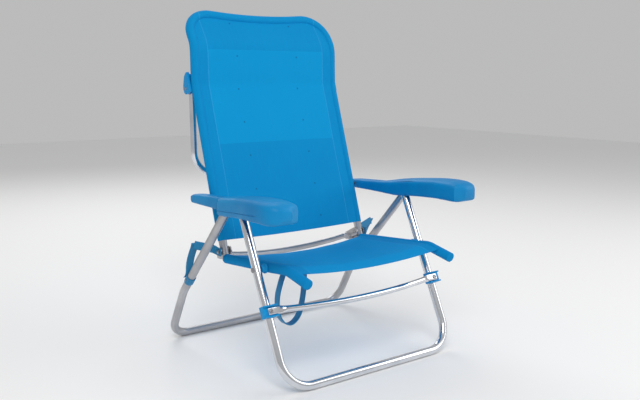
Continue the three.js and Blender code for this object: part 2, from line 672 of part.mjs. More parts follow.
// Pocket across the lower back.
const pocketTop = backRunAt(POCKET_TOP_Z);
const pocketBehind = SHEET_T / 2 + POCKET_T / 2 + 4 * CLEAR;
add('back_pocket', loft([hemRun + 6, pocketTop].map((run) => panelRing(
  (a, off) => backPoint(a, run - backDip(a) * (run / BACK_LENGTH),
    off + pocketBehind - PANEL_AHEAD + PANEL_SLACK * (1 - (a / BACK_X) ** 2)),
  POCKET_HALF_W, POCKET_T / 2,
))), mesh);

// ------------------------------------------------------------------ support leg

const standTilt = Math.atan(BACK_SLOPE);
const tubeAtStand = [BACK_PIVOT[0] + (STAND_PIVOT_Z - BACK_PIVOT[1]) * BACK_SLOPE, STAND_PIVOT_Z];
const standPivot = [
  tubeAtStand[0] + STAND_PIVOT_BEHIND * Math.cos(standTilt),
  tubeAtStand[1] - STAND_PIVOT_BEHIND * Math.sin(standTilt),
];
const standCorners = [
  v3(BACK_X, standPivot[0], standPivot[1] + 2 * STAND_R),
  v3(BACK_X, standPivot[0] - 6, standPivot[1] - STAND_DROP),
  v3(-BACK_X, standPivot[0] - 6, standPivot[1] - STAND_DROP),
  v3(-BACK_X, standPivot[0], standPivot[1] + 2 * STAND_R),
];
add('stand_frame', cut(
  roundedEnd(bar(rounded(standCorners, STAND_CORNER_R), STAND_R), standPivot, [0, 1], STAND_R),
  pinHole(standPivot, STAND_PIN_R),
), polished);

// Bracket behind the sleeve: two cheeks that hold the support leg's pin.
const CHEEK_T = 9;
const CHEEK_IN = STAND_R + 1.5;
function bracket(side) {
  const local = (along, behind) => [
    tubeAtStand[0] + along * Math.sin(standTilt) + behind * Math.cos(standTilt),
    tubeAtStand[1] + along * Math.cos(standTilt) - behind * Math.sin(standTilt),
  ];
  const outline = [
    local(-BRACKET_BELOW, 2), local(BRACKET_ABOVE, 2), local(BRACKET_ABOVE, 10),
    local(12, STAND_PIVOT_BEHIND + 10), local(-4, STAND_PIVOT_BEHIND + 12),
    local(-BRACKET_BELOW, STAND_PIVOT_BEHIND + 6),
  ];
  const half = CHEEK_IN + CHEEK_T;
  const slot = [local(-60, SLEEVE_OUT + 0.5), local(14, SLEEVE_OUT + 0.5), local(14, 80), local(-60, 80)];
  const tubeFrom = v3(side * BACK_X, ...local(-60, 0));
  return cut(
    plateX(outline, side * (BACK_X - half), side * (BACK_X + half)),
    rod(tubeFrom, v3(0, Math.sin(standTilt), Math.cos(standTilt)), 140, SLEEVE_OUT + CLEAR, 24),
    plateX(slot, side * (BACK_X - CHEEK_IN), side * (BACK_X + CHEEK_IN)),
    pinHole(standPivot, STAND_PIN_R),
  );
}
for (const [name, side] of SIDES) {
  const half = CHEEK_IN + CHEEK_T + CLEAR;
  add(`stand_bracket_${name}`, bracket(side), moulding);
  add(`stand_pin_${name}`, rivetX(standPivot, STAND_PIN_R, 5,
    side * (BACK_X - half), side * (BACK_X + half), 1.5), steel);
}

// ------------------------------------------------------------------ armrests

// Stations: y, underside, top, outer face.
const armStations = [
  [ARM_REAR_Y, 411, 414, ARM_REAR_OUTER_X - 8], [ARM_REAR_Y - 3, 404, 420, ARM_REAR_OUTER_X - 3],
  [ARM_REAR_Y - 12, 400.5, 423, ARM_REAR_OUTER_X],
  [387, 400, 427, ARM_REAR_OUTER_X], [330, 400, 430, ARM_REAR_OUTER_X], [272, 399, 433, ARM_REAR_OUTER_X],
  [256, 398, 436, ARM_REAR_OUTER_X + 6], [240, 397, 439, ARM_OUTER_X - 8],
  [222, 396, 442.5, ARM_OUTER_X - 1], [200, 397, 446, ARM_OUTER_X],
  [163, 401, 450.5, ARM_OUTER_X + 2], [120, 404, 455, ARM_OUTER_X + 5], [74, 406, 459, ARM_FRONT_OUTER_X - 2],
  [33, 407, 460, ARM_FRONT_OUTER_X], [5, 406, 459, ARM_FRONT_OUTER_X - 1], [-14, 407, 455, ARM_FRONT_OUTER_X - 7],
  [-24, 411, 449, ARM_FRONT_OUTER_X - 17], [ARM_FRONT_Y, 419, 440, ARM_FRONT_OUTER_X - 30],
];
const insetAt = (y) => THREE.MathUtils.smoothstep(-y, -15, -ARM_FRONT_Y) * 26;
function armRing([y, under, top, outer]) {
  const inner = ARM_INNER_X + insetAt(y);
  const w = outer - inner;
  const h = top - under;
  return [
    [inner + 2, under], [outer - 0.14 * w, under],
    [outer - 0.03 * w, under + 0.12 * h], [outer, under + 0.35 * h],
    [outer, under + 0.62 * h], [outer - 0.05 * w, top - 0.16 * h],
    [outer - 0.2 * w, top - 0.04 * h], [outer - 0.45 * w, top],
    [inner + 0.25 * w, top - 0.02 * h], [inner + 0.06 * w, top - 0.1 * h],
    [inner, top - 0.28 * h], [inner, under + 2],
  ].map(([x, z]) => v3(x, y, z));
}
const armBlock = () => loft(armStations.map(armRing));

// Hollow from below, in three lanes: the rear arm, the legs, and the rear leg's way out.
const HOLLOW_FRONT_Y = 44;
const laneBox = (x0, x1, outline) => plateX(outline, x0, x1);
const hollowTop = [
  [425, 408], [387, 422], [272, 428], [240, 433], [206, ARM_ROOF_Z - 2], [163, 445], [HOLLOW_FRONT_Y, 452],
];
const hollowOutline = [[HOLLOW_FRONT_Y, 380], [422, 380], [422, 414], ...hollowTop.slice(1)];
const legLaneOutline = [[HOLLOW_FRONT_Y, 380], [239, 380], [239, 433], ...hollowTop.slice(4)];
const innerLane = ARM_INNER_X + ARM_WALL;
const rackUnder = LEG_PIVOT[1] + LEG_PIN_R + CLEAR - NOTCH_DEPTH;
const rackTop = ARM_ROOF_Z + 12;
const notchAt = (k) => [LEG_PIVOT[0] - k * NOTCH_PITCH, LEG_PIVOT[1] + LEG_PIN_R + CLEAR - NOTCH_R];
const notch = (k) => pinX(notchAt(k), NOTCH_R, FRONT_LEG_X, REAR_LEG_X, 24);
const rackMid = (FRONT_LEG_X + REAR_LEG_X) / 2;
const rackOutline = [[50, rackUnder], [214, rackUnder], [214, rackTop], [50, rackTop]];
const rack = () => cut(
  common(armBlock(), plateX(rackOutline, rackMid - TRACK_T / 2, rackMid + TRACK_T / 2)),
  ...[...Array(NOTCHES).keys()].map(notch),
);
const legWayOut = [[200, 380], [262, 380], [262, 431], [200, 431]];
const armShell = cut(
  join(
    cut(
      armBlock(),
      laneBox(innerLane, ARM_REAR_OUTER_X - ARM_WALL, hollowOutline),
      laneBox(innerLane, ARM_OUTER_X - ARM_WALL - 3, legLaneOutline),
      laneBox(ARM_REAR_OUTER_X - 0.5, REAR_LEG_X + TUBE_R + 1.5, legWayOut),
    ),
    rack(),
  ),
  pinHole(ARM_PIVOT, STAND_PIN_R),
);
for (const [name, side] of SIDES) {
  const inner = BACK_X - SLEEVE_OUT - CLEAR;
  add(`armrest_${name}`, pick(armShell, side), moulding);
  add(`armrest_pin_${name}`, rivetX(ARM_PIVOT, STAND_PIN_R, 5,
    side * inner, side * (innerLane + CLEAR), 1.5), steel);
}

// ------------------------------------------------------------------ hinges, straps

const HINGE_OUTER = 248.5;
const WASHER_R = 9;
const strapLeg = (t) => v3(REAR_LEG_X, LEG_PIVOT[0] + rearRun[0] * t, LEG_PIVOT[1] + rearRun[1] * t);
const legWay = v3(0, rearRun[0], rearRun[1]).normalize();
const legBehind = v3(0, -legWay.z, legWay.y);
const collarMiddle = strapLeg(0.845);
for (const [name, side] of SIDES) {
  const washerIn = BACK_X + TUBE_R + CLEAR;
  const washerOut = washerIn + 3;
  const profile = [[washerIn, 0], [washerIn, WASHER_R], [washerOut, WASHER_R], [washerOut, 0]];
  const washer = turnedX(BACK_PIVOT, profile, 24);
  add(`hinge_pin_${name}`, rivetX(BACK_PIVOT, HINGE_PIN_R, 6,
    side * (LUG_X - LUG_T / 2 - CLEAR), side * HINGE_OUTER, 1.5), steel);
  add(`hinge_washer_${name}`, pick(cut(washer, pinHole(BACK_PIVOT, HINGE_PIN_R)), side), steel);
}

// Limit strap: an eye on the hinge pin, a run outwards behind the rear leg,
// a fold, and a run down to a collar.
function ribbon(stations, widths, thickness) {
  return loft(stations.map((p, i) => {
    const before = stations[Math.max(i - 1, 0)];
    const after = stations[Math.min(i + 1, stations.length - 1)];
    const way = after.clone().sub(before).normalize();
    const wide = widths[i].clone().addScaledVector(way, -widths[i].dot(way)).normalize();
    const thick = way.clone().cross(wide).normalize();
    return [[-1, -1], [1, -1], [1, 1], [-1, 1]].map(([a, b]) => p.clone()
      .addScaledVector(wide, (a * WEB_W) / 2).addScaledVector(thick, (b * thickness) / 2));
  }));
}
const strapEye = HINGE_OUTER - WEB_T / 2 - 0.6;
const strapDown = v3(0, 0, 1);
const strapAcross = v3(1, 0, 0);
const collarEdge = collarMiddle.clone().addScaledVector(legBehind, TUBE_R + CLEAR + WEB_T / 2);
const strapUpper = [
  v3(strapEye, 333, 277), v3(strapEye, 347, 277), v3(strapEye, 356, 278),
  v3(256, 368, 283), v3(290, 375, 293), v3(302, 376, 297),
];
const strapLower = [v3(299, 376, 300), v3(299, 386, 284), v3(299, 402, 258), v3(299, 411, 236),
  collarEdge.clone().setX(299).addScaledVector(legWay, -13), collarEdge.clone().setX(299)];
const collar = cut(
  rod(collarMiddle.clone().addScaledVector(legWay, -COLLAR_W / 2), legWay, COLLAR_W, TUBE_R + CLEAR + WEB_T, 24),
  rod(collarMiddle.clone().addScaledVector(legWay, -COLLAR_W), legWay, 2 * COLLAR_W, TUBE_R + CLEAR, 24),
);
const limitStrap = cut(
  join(
    ribbon(strapUpper, strapUpper.map(() => strapDown), WEB_T),
    ribbon(strapLower, strapLower.map(() => strapAcross), WEB_T),
    collar,
  ),
  pinX(BACK_PIVOT, HINGE_PIN_R + PIN_GAP, 200, 260),
);
for (const [name, side] of SIDES) add(`limit_strap_${name}`, pick(limitStrap, side), webbing);

// Carry loop: webbing that hangs from the seat behind the front crossbar.
const loopTop = SEAT_CREST[1] - 22;
const loopCorners = [v3(-205, 109, loopTop), v3(-222, 109, 205), v3(-216, 109, 146), v3(-190, 109, 133),
  v3(-163, 109, 150), v3(-149, 106, 205), v3(-147, 104, loopTop - 4)];
const loopLine = rounded(loopCorners, 14, 3);
const loopAcross = v3(0, 1, 0);
add('carry_strap', ribbon(loopLine, loopLine.map(() => loopAcross), 2 * WEB_T), webbing);

export default chair;
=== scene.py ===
# %% [markdown]
# # A folding beach chair
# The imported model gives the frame: its joints, bodies and sizes. Over it this script models what is seen
# at close range: smooth bent tubes, moulded armrests with a rack underneath, woven sleeves and panels,
# and webbing. All lengths are in metres, +Z is up, the sitter faces -Y.

# %% Load the frame
import math
import bpy
from mathutils import Matrix, Vector


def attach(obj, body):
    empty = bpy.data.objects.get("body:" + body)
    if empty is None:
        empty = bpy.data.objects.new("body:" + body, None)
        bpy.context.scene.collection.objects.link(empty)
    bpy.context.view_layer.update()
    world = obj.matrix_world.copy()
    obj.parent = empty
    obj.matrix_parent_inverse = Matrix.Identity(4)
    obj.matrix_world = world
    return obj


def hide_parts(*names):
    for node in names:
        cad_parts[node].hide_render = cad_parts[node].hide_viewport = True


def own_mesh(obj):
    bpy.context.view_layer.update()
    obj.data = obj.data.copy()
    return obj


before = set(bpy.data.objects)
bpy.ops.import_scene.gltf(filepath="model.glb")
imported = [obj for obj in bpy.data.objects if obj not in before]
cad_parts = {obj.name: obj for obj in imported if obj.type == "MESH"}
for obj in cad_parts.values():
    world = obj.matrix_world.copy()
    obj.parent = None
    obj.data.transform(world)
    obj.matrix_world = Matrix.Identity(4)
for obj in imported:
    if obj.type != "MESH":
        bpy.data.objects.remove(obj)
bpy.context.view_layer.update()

# %% [markdown]
# ## Dimensions
# The same driving sizes as the CAD part, in metres. MID_Y moves the measuring origin, where the front
# leg's line meets the ground, to the middle of the chair's depth.

# %% Driving dimensions
MID_Y = 0.262
TUBE_R = 0.011
BACK_X = 0.230
SEAT_X = 0.230
FRONT_LEG_X = 0.268
REAR_LEG_X = 0.297
LEG_PIVOT = (0.202, 0.424)
SEAT_PIVOT = (0.131, 0.275)
BACK_PIVOT = (0.347, 0.277)
REAR_FOOT_Y = 0.533
REAR_KNEE = (0.452, 0.155)
LEG_TOP = 0.009
FRONT_BAR_R = 0.008
REAR_BAR_R = 0.008
STAND_R = 0.009
BACK_SLOPE = 0.323
BACK_KNEE_Z = 0.706
BACK_NECK_Z = 0.815
NECK_SLOPE = 0.03
HEAD_SLOPE = 0.66
BACK_TOP_Z = 0.905
BACK_CORNER_R = 0.080
BACK_TOP_DIP = 0.020
BACK_HEM_Z = 0.303
CAP_Z = 0.802
POCKET_TOP_Z = 0.550
SLEEVE_R = 0.0125
CLOTH_T = 0.0012


def at(x, y, z):
    """A point given in the measuring frame, moved to the chair's own origin."""
    return Vector((x, y - MID_Y, z))


print("seat height", SEAT_PIVOT[1], "back height", BACK_TOP_Z)

# %% [markdown]
# ## Modelling tools
# A tube is a poly curve with a round bevel, turned into a mesh. A bent route is a list of corners with
# each corner rounded. A plate is a side outline given thickness, a loft is a skin over rings, and a cloth
# is a subdivided grid laid on a surface.

# %% Modelling tools
def select_only(obj):
    """Makes obj the only selected and the active object."""
    bpy.ops.object.select_all(action="DESELECT")
    obj.select_set(True)
    bpy.context.view_layer.objects.active = obj


def smooth(obj, angle=35):
    """Smooth shading with sharp edges kept above the angle, in degrees."""
    select_only(obj)
    bpy.ops.object.shade_smooth_by_angle(angle=math.radians(angle))
    return obj


def apply_modifiers(obj):
    """Applies every modifier on obj, in order."""
    select_only(obj)
    for modifier in list(obj.modifiers):
        bpy.ops.object.modifier_apply(modifier=modifier.name)
    return obj


def recalculated(obj):
    """Turns the faces of a closed mesh outwards."""
    select_only(obj)
    bpy.ops.object.mode_set(mode="EDIT")
    bpy.ops.mesh.select_all(action="SELECT")
    bpy.ops.mesh.normals_make_consistent(inside=False)
    bpy.ops.object.mode_set(mode="OBJECT")
    return obj


def new_mesh(name, vertices, faces):
    """A mesh object from corner points and faces, faces outwards."""
    data = bpy.data.meshes.new(name)
    data.from_pydata([tuple(v) for v in vertices], [], faces)
    obj = bpy.data.objects.new(name, data)
    bpy.context.scene.collection.objects.link(obj)
    return recalculated(obj)


def rounded(corners, radii, steps=10):
    """Route through the corners with each inner corner turned into an arc."""
    route = [corners[0]]
    for i in range(1, len(corners) - 1):
        radius = radii[i - 1] if isinstance(radii, (list, tuple)) else radii
        into = (corners[i - 1] - corners[i]).normalized()
        out = (corners[i + 1] - corners[i]).normalized()
        half = into.angle(out) / 2
        centre = corners[i] + (into + out).normalized() * (radius / math.sin(half))
        start = corners[i] + into * (radius / math.tan(half)) - centre
        end = corners[i] + out * (radius / math.tan(half)) - centre
        turn = start.angle(end)
        for k in range(steps + 1):
            share = turn * k / steps
            route.append(centre + (start * math.sin(turn - share) + end * math.sin(share)) / math.sin(turn))
    route.append(corners[-1])
    return route


def tube(name, route, radius, cap=0.0, sides=7):
    """Closed round bar along a route. cap rounds its end edges by that radius."""
    curve = bpy.data.curves.new(name, "CURVE")
    curve.dimensions = "3D"
    curve.bevel_depth = radius
    curve.bevel_resolution = sides
    curve.use_fill_caps = True
    spline = curve.splines.new("POLY")
    spline.points.add(len(route) - 1)
    for point, place in zip(spline.points, route):
        point.co = (*place, 1)
    obj = bpy.data.objects.new(name, curve)
    bpy.context.scene.collection.objects.link(obj)
    select_only(obj)
    bpy.ops.object.convert(target="MESH")
    obj = bpy.context.view_layer.objects.active
    bpy.ops.object.mode_set(mode="EDIT")
    bpy.ops.mesh.select_all(action="SELECT")
    bpy.ops.mesh.remove_doubles(threshold=0.00001)
    bpy.ops.object.mode_set(mode="OBJECT")
    recalculated(obj)
    if cap:
        bevel = obj.modifiers.new("cap", "BEVEL")
        bevel.width = cap
        bevel.segments = 4
        bevel.limit_method = "ANGLE"
        bevel.angle_limit = math.radians(60)
        apply_modifiers(obj)
    return smooth(obj)


def bevelled(obj, width, segments=3, angle=35):
    """Rounds the sharp edges of obj."""
    bevel = obj.modifiers.new("edge", "BEVEL")
    bevel.width = width
    bevel.segments = segments
    bevel.limit_method = "ANGLE"
    bevel.angle_limit = math.radians(angle)
    apply_modifiers(obj)
    return smooth(obj, 40)


def plate(name, outline, x0, x1):
    """A side outline of (y, z) points, given thickness from x0 to x1."""
    count = len(outline)
    vertices = [at(x, y, z) for x in (x0, x1) for y, z in outline]
    faces = [tuple(range(count)), tuple(range(2 * count - 1, count - 1, -1))]
    faces += [(k, (k + 1) % count, (k + 1) % count + count, k + count) for k in range(count)]
    return new_mesh(name, vertices, faces)


def loft(name, rings):
    """A closed skin over rings with the same number of points."""
    count = len(rings[0])
    vertices = [p for ring in rings for p in ring]
    faces = [tuple(range(count)), tuple(range(len(vertices) - 1, len(vertices) - count - 1, -1))]
    for r in range(len(rings) - 1):
        for k in range(count):
            a = r * count + k
            b = r * count + (k + 1) % count
            faces.append((a, b, b + count, a + count))
    return new_mesh(name, vertices, faces)


def rod(name, start, end, radius, bevel=0.0, sides=40):
    """Cylinder from start to end."""
    along = end - start
    bpy.ops.mesh.primitive_cylinder_add(vertices=sides, radius=radius, depth=along.length)
    obj = bpy.context.view_layer.objects.active
    obj.name = name
    turn = along.to_track_quat("Z", "Y").to_matrix().to_4x4()
    obj.data.transform(Matrix.Translation((start + end) / 2) @ turn)
    if bevel:
        bevelled(obj, bevel)
    return smooth(obj)


def boolean(obj, cutter, operation="DIFFERENCE"):
    """Cuts or joins another mesh, which is then removed."""
    modifier = obj.modifiers.new("boolean", "BOOLEAN")
    modifier.operation = operation
    modifier.object = cutter
    modifier.solver = "EXACT"
    apply_modifiers(obj)
    bpy.data.objects.remove(cutter)
    return obj


def cloth(name, place, across, along, thickness=CLOTH_T):
    """A woven panel: a grid whose corner (u, v), each from 0 to 1, lies at place(u, v)."""
    bpy.ops.mesh.primitive_grid_add(x_subdivisions=across, y_subdivisions=along, size=1)
    obj = bpy.context.view_layer.objects.active
    obj.name = name
    for vertex in obj.data.vertices:
        vertex.co = place(vertex.co.x + 0.5, vertex.co.y + 0.5)
    solid = obj.modifiers.new("thickness", "SOLIDIFY")
    solid.thickness = thickness
    solid.offset = 0
    apply_modifiers(obj)
    return smooth(obj, 60)


def ribbon(name, route, wide, width, thickness):
    """Webbing along a route; wide gives the way its width lies at each place."""
    rings = []
    for i, place in enumerate(route):
        way = (route[min(i + 1, len(route) - 1)] - route[max(i - 1, 0)]).normalized()
        side = (wide[i] - way * wide[i].dot(way)).normalized()
        thick = way.cross(side).normalized()
        rings.append([place + side * (a * width / 2) + thick * (b * thickness / 2) for a, b in
                      ((-1, -1), (-0.5, -1), (0, -1), (0.5, -1), (1, -1), (1, 1), (0.5, 1), (0, 1),
                       (-0.5, 1), (-1, 1))])
    obj = loft(name, rings)
    return bevelled(obj, thickness * 0.3, 2, 50)


SIDES = (("left", 1), ("right", -1))
print("tools ready")

# %% [markdown]
# ## Materials
# All materials are procedural and use object coordinates, which equal the chair's own frame because
# nothing is moved. Colours are given as sRGB hex and turned linear by one function.

# %% Material tools
def linear(hex_colour):
    """sRGB hex to linear RGBA."""
    parts = [int(hex_colour[i:i + 2], 16) / 255 for i in (0, 2, 4)]
    return tuple(c / 12.92 if c <= 0.04045 else ((c + 0.055) / 1.055) ** 2.4 for c in parts) + (1.0,)


def node(tree, kind, inputs=None, **settings):
    """Adds a node, sets its properties and sets or links its inputs."""
    made = tree.nodes.new(kind)
    for key, value in settings.items():
        setattr(made, key, value)
    for key, value in (inputs or {}).items():
        if isinstance(value, bpy.types.NodeSocket):
            tree.links.new(value, made.inputs[key])
        else:
            made.inputs[key].default_value = value
    return made


def material(name):
    """An empty node material with its shader, output and object coordinates."""
    mat = bpy.data.materials.new(name)
    mat.use_nodes = True
    tree = mat.node_tree
    tree.nodes.clear()
    shader = node(tree, "ShaderNodeBsdfPrincipled")
    out = node(tree, "ShaderNodeOutputMaterial")
    tree.links.new(shader.outputs[0], out.inputs[0])
    place = node(tree, "ShaderNodeTexCoord").outputs["Object"]
    return mat, tree, shader, place


def maths(tree, operation, a, b=0.0, c=0.0):
    """One arithmetic step; a, b and c are sockets or numbers."""
    return node(tree, "ShaderNodeMath", {0: a, 1: b, 2: c}, operation=operation).outputs[0]


def noise(tree, place, scale, detail=3.0, stretch=(1, 1, 1)):
    """Noise at a scale per metre, stretched along axes."""
    mapped = node(tree, "ShaderNodeMapping", {"Vector": place, "Scale": stretch}).outputs[0]
    return node(tree, "ShaderNodeTexNoise",
                {"Vector": mapped, "Scale": scale, "Detail": detail}).outputs["Fac"]


def between(tree, value, low, high, to_low, to_high):
    """Maps a value from one range to another, held inside it."""
    return node(tree, "ShaderNodeMapRange", {0: value, 1: low, 2: high, 3: to_low, 4: to_high}).outputs[0]


def blend_colour(tree, factor, a, b):
    """Mixes two colours, each a socket or an RGBA value."""
    mix = node(tree, "ShaderNodeMix", data_type="RGBA")
    for index, value in ((0, factor), (6, a), (7, b)):
        if isinstance(value, bpy.types.NodeSocket):
            tree.links.new(value, mix.inputs[index])
        else:
            mix.inputs[index].default_value = value
    return mix.outputs[2]


def bump(tree, shader, height, strength, distance):
    """Links a height to the shader's normal."""
    made = node(tree, "ShaderNodeBump", {"Height": height, "Strength": strength, "Distance": distance})
    tree.links.new(made.outputs[0], shader.inputs["Normal"])


def metal(name, colour, rough_low, rough_high, grain):
    """Tube metal with fine scuffs and a slow change of gloss."""
    mat, tree, shader, place = material(name)
    slow = noise(tree, place, 18, 2)
    fine = noise(tree, place, 900, 2, (1, 1, 0.2))
    shader.inputs["Metallic"].default_value = 1.0
    tone = blend_colour(tree, between(tree, slow, 0.3, 0.7, 0, 1), linear(colour[0]), linear(colour[1]))
    tree.links.new(tone, shader.inputs["Base Color"])
    tree.links.new(between(tree, slow, 0.3, 0.7, rough_low, rough_high), shader.inputs["Roughness"])
    bump(tree, shader, fine, grain, 0.0002)
    return mat


def plastic(name, colour, roughness):
    """Moulded plastic with a fine grain and worn gloss."""
    mat, tree, shader, place = material(name)
    slow = noise(tree, place, 12, 3)
    tone = blend_colour(tree, between(tree, slow, 0.3, 0.7, 0, 1), linear(colour[0]), linear(colour[1]))
    tree.links.new(tone, shader.inputs["Base Color"])
    tree.links.new(between(tree, slow, 0.3, 0.7, roughness - 0.04, roughness + 0.06),
                   shader.inputs["Roughness"])
    shader.inputs["Specular IOR Level"].default_value = 0.25
    bump(tree, shader, noise(tree, place, 1800, 2), 0.15, 0.0003)
    return mat


polished = metal("polished_aluminium", ("E4E6EA", "D2D5DA"), 0.1, 0.2, 0.04)
satin = metal("satin_aluminium", ("C2C2C4", "B2B2B5"), 0.34, 0.44, 0.15)
steel = metal("plated_steel", ("B0B0B2", "8E8E92"), 0.25, 0.4, 0.1)
moulding = plastic("blue_moulding", ("008CC8", "007CBA"), 0.45)
bright_moulding = plastic("bright_blue_moulding", ("009CDC", "008ED0"), 0.42)
print("plain materials", [m.name for m in (polished, satin, steel, moulding)])

# %% [markdown]
# The woven mesh has upright and level strands less than two millimetres apart. Where two layers lie
# together, at the head cap, the lower back and the side hems, the blue is deeper. Short stitches run
# along the hems, and two rows of small tacks run up the backrest.

# %% Woven materials
def woven(name, light, deep, bands, hem_x, tacks=None):
    """Mesh fabric. bands: (low z, high z) of double layers; hem_x: inner edge of the side hems;
    tacks: (x, lowest z, pitch) of the small tack stitches."""
    mat, tree, shader, place = material(name)
    axes = node(tree, "ShaderNodeSeparateXYZ", {0: place}).outputs
    x_abs = maths(tree, "ABSOLUTE", axes[0])
    run = maths(tree, "ADD", axes[2], axes[1])
    warp = maths(tree, "SINE", maths(tree, "MULTIPLY", axes[0], 2 * math.pi / 0.0016))
    weft = maths(tree, "SINE", maths(tree, "MULTIPLY", run, 2 * math.pi / 0.0016))
    weave = maths(tree, "MULTIPLY", warp, weft)
    double = 0.0
    for low, high in bands:
        inside = maths(tree, "MULTIPLY", maths(tree, "GREATER_THAN", axes[2], low),
                       maths(tree, "LESS_THAN", axes[2], high))
        double = maths(tree, "MAXIMUM", double, inside)
    if hem_x:
        double = maths(tree, "MAXIMUM", double, maths(tree, "GREATER_THAN", x_abs, hem_x))
    streak = noise(tree, place, 60, 4, (8, 0.4, 0.4))
    cloud = noise(tree, place, 5, 3)
    tone = maths(tree, "ADD", maths(tree, "MULTIPLY", double, 0.62), maths(tree, "MULTIPLY", weave, 0.05))
    tone = maths(tree, "ADD", tone, between(tree, streak, 0.3, 0.7, -0.12, 0.12))
    tone = maths(tree, "ADD", tone, between(tree, cloud, 0.3, 0.7, -0.08, 0.08))
    colour = blend_colour(tree, between(tree, tone, 0, 1, 0, 1), linear(light), linear(deep))
    if hem_x:
        line = maths(tree, "LESS_THAN", maths(tree, "ABSOLUTE", maths(tree, "SUBTRACT", x_abs, hem_x)),
                     0.0007)
        dash = maths(tree, "LESS_THAN", maths(tree, "FRACT", maths(tree, "MULTIPLY", run, 230)), 0.6)
        stitch = maths(tree, "MULTIPLY", line, dash)
        colour = blend_colour(tree, maths(tree, "MULTIPLY", stitch, 0.6), colour, linear("56B4E6"))
    if tacks:
        tack_x, tack_z, pitch = tacks
        steps = maths(tree, "DIVIDE", maths(tree, "SUBTRACT", axes[2], tack_z - pitch / 2), pitch)
        off_z = maths(tree, "ABSOLUTE", maths(tree, "SUBTRACT", maths(tree, "FRACT", steps), 0.5))
        near_z = maths(tree, "LESS_THAN", maths(tree, "MULTIPLY", off_z, pitch), 0.0022)
        near_x = maths(tree, "LESS_THAN", maths(tree, "ABSOLUTE", maths(tree, "SUBTRACT", x_abs, tack_x)),
                       0.0022)
        tack = maths(tree, "MULTIPLY", maths(tree, "MULTIPLY", near_x, near_z), 0.75)
        colour = blend_colour(tree, tack, colour, linear("045A92"))
    tree.links.new(colour, shader.inputs["Base Color"])
    shader.inputs["Roughness"].default_value = 0.85
    shader.inputs["Specular IOR Level"].default_value = 0.15
    bump(tree, shader, weave, 0.25, 0.0004)
    return mat


back_mesh = woven("woven_back", "0096D2", "0086C4", [(CAP_Z, 1.2), (0.0, POCKET_TOP_Z)], 0.193,
                  (0.1, 0.336, 0.0898))
seat_mesh = woven("woven_seat", "0090D0", "0082C2", [], 0.193)


def webbing_material(name, light, deep, along):
    """Ribbed polypropylene webbing; along is the axis index the ribs repeat on."""
    mat, tree, shader, place = material(name)
    axes = node(tree, "ShaderNodeSeparateXYZ", {0: place}).outputs
    rib = maths(tree, "SINE", maths(tree, "MULTIPLY", axes[along], 2 * math.pi / 0.0018))
    colour = blend_colour(tree, between(tree, rib, -1, 1, 0, 1), linear(light), linear(deep))
    tree.links.new(colour, shader.inputs["Base Color"])
    shader.inputs["Roughness"].default_value = 0.7
    shader.inputs["Sheen Weight"].default_value = 0.2
    bump(tree, shader, rib, 0.5, 0.0004)
    return mat


webbing = webbing_material("blue_webbing", "0D8CC2", "0877A8", 2)
print("woven materials ready")


def finish_piece(obj, body, mat, slot_name, *replaced):
    """Gives a piece its material and body, and hides the CAD nodes that it stands for. slot_name is not used.
    """
    obj.data.materials.clear()
    obj.data.materials.append(mat)
    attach(obj, body)
    if replaced:
        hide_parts(*replaced)
    return obj


# %% [markdown]
# ## Legs
# Each leg is one tube bent into a U. The front leg is polished; the rear leg is satin and has a knee in
# each side so that its foot stands further back.

# %% Front leg
front_tilt = math.atan2(*LEG_PIVOT)
front_up = Vector((0, math.sin(front_tilt), math.cos(front_tilt)))
front_out = Vector((0, -math.cos(front_tilt), math.sin(front_tilt)))
front_top = at(0, *LEG_PIVOT) + front_up * LEG_TOP
front_foot = at(0, 0.005, 0.0109)


def across(point, x):
    """The same point moved to another x."""
    return Vector((x, point.y, point.z))


front_corners = [across(front_top, FRONT_LEG_X), across(front_foot, FRONT_LEG_X),
                 across(front_foot, -FRONT_LEG_X), across(front_top, -FRONT_LEG_X)]
front_leg = tube("front_leg", rounded(front_corners, 0.072, 20), TUBE_R, 0.002)
finish_piece(front_leg, "front_leg", polished, "polished_tube", "front_leg_frame")
print("front leg", len(front_leg.data.vertices))

# %% [markdown]
# ### Rear leg
# The rear leg could be a copy of the front one, but it bends at a knee in each side, so it has its own
# corners. Its satin finish sets it apart from the polished front leg.

# %% Rear leg
rear_run = Vector((0, REAR_KNEE[0] - LEG_PIVOT[0], REAR_KNEE[1] - LEG_PIVOT[1])).normalized()
rear_top = at(0, *LEG_PIVOT) - rear_run * LEG_TOP
rear_knee = at(0, *REAR_KNEE)
rear_foot = at(0, REAR_FOOT_Y, 0.0109)
rear_corners = [across(p, s * REAR_LEG_X) for s, ps in ((1, (rear_top, rear_knee, rear_foot)),
                                                       (-1, (rear_foot, rear_knee, rear_top))) for p in ps]
rear_leg = tube("rear_leg", rounded(rear_corners, [0.09, 0.05, 0.05, 0.09], 16), TUBE_R, 0.002)
finish_piece(rear_leg, "rear_leg", satin, "satin_tube", "rear_leg_frame")
print("rear leg", len(rear_leg.data.vertices))

# %% [markdown]
# ## Front crossbar and its saddles
# The crossbar bows forward and down. Its ends are pressed flat: the vertices near each end are squeezed
# towards the bar's centre line. A blue saddle hugs each leg and holds the flat end between two lips, with
# one rivet through all three.

# %% Front crossbar
BAR_Z = 0.181
BAR_END_X = 0.250
BAR_BOW = 0.016
BAR_SAG = 0.008
BAR_OUT = TUBE_R + 0.005 + 0.0003 + 0.0018
on_leg = at(0, BAR_Z * LEG_PIVOT[0] / LEG_PIVOT[1], BAR_Z)
bar_end = on_leg + front_out * BAR_OUT


def bar_centre(x):
    """Centre line of the front crossbar."""
    bow = 1 - (min(abs(x), BAR_END_X) / BAR_END_X) ** 2
    return Vector((x, bar_end.y - BAR_BOW * bow, bar_end.z - BAR_SAG * bow))


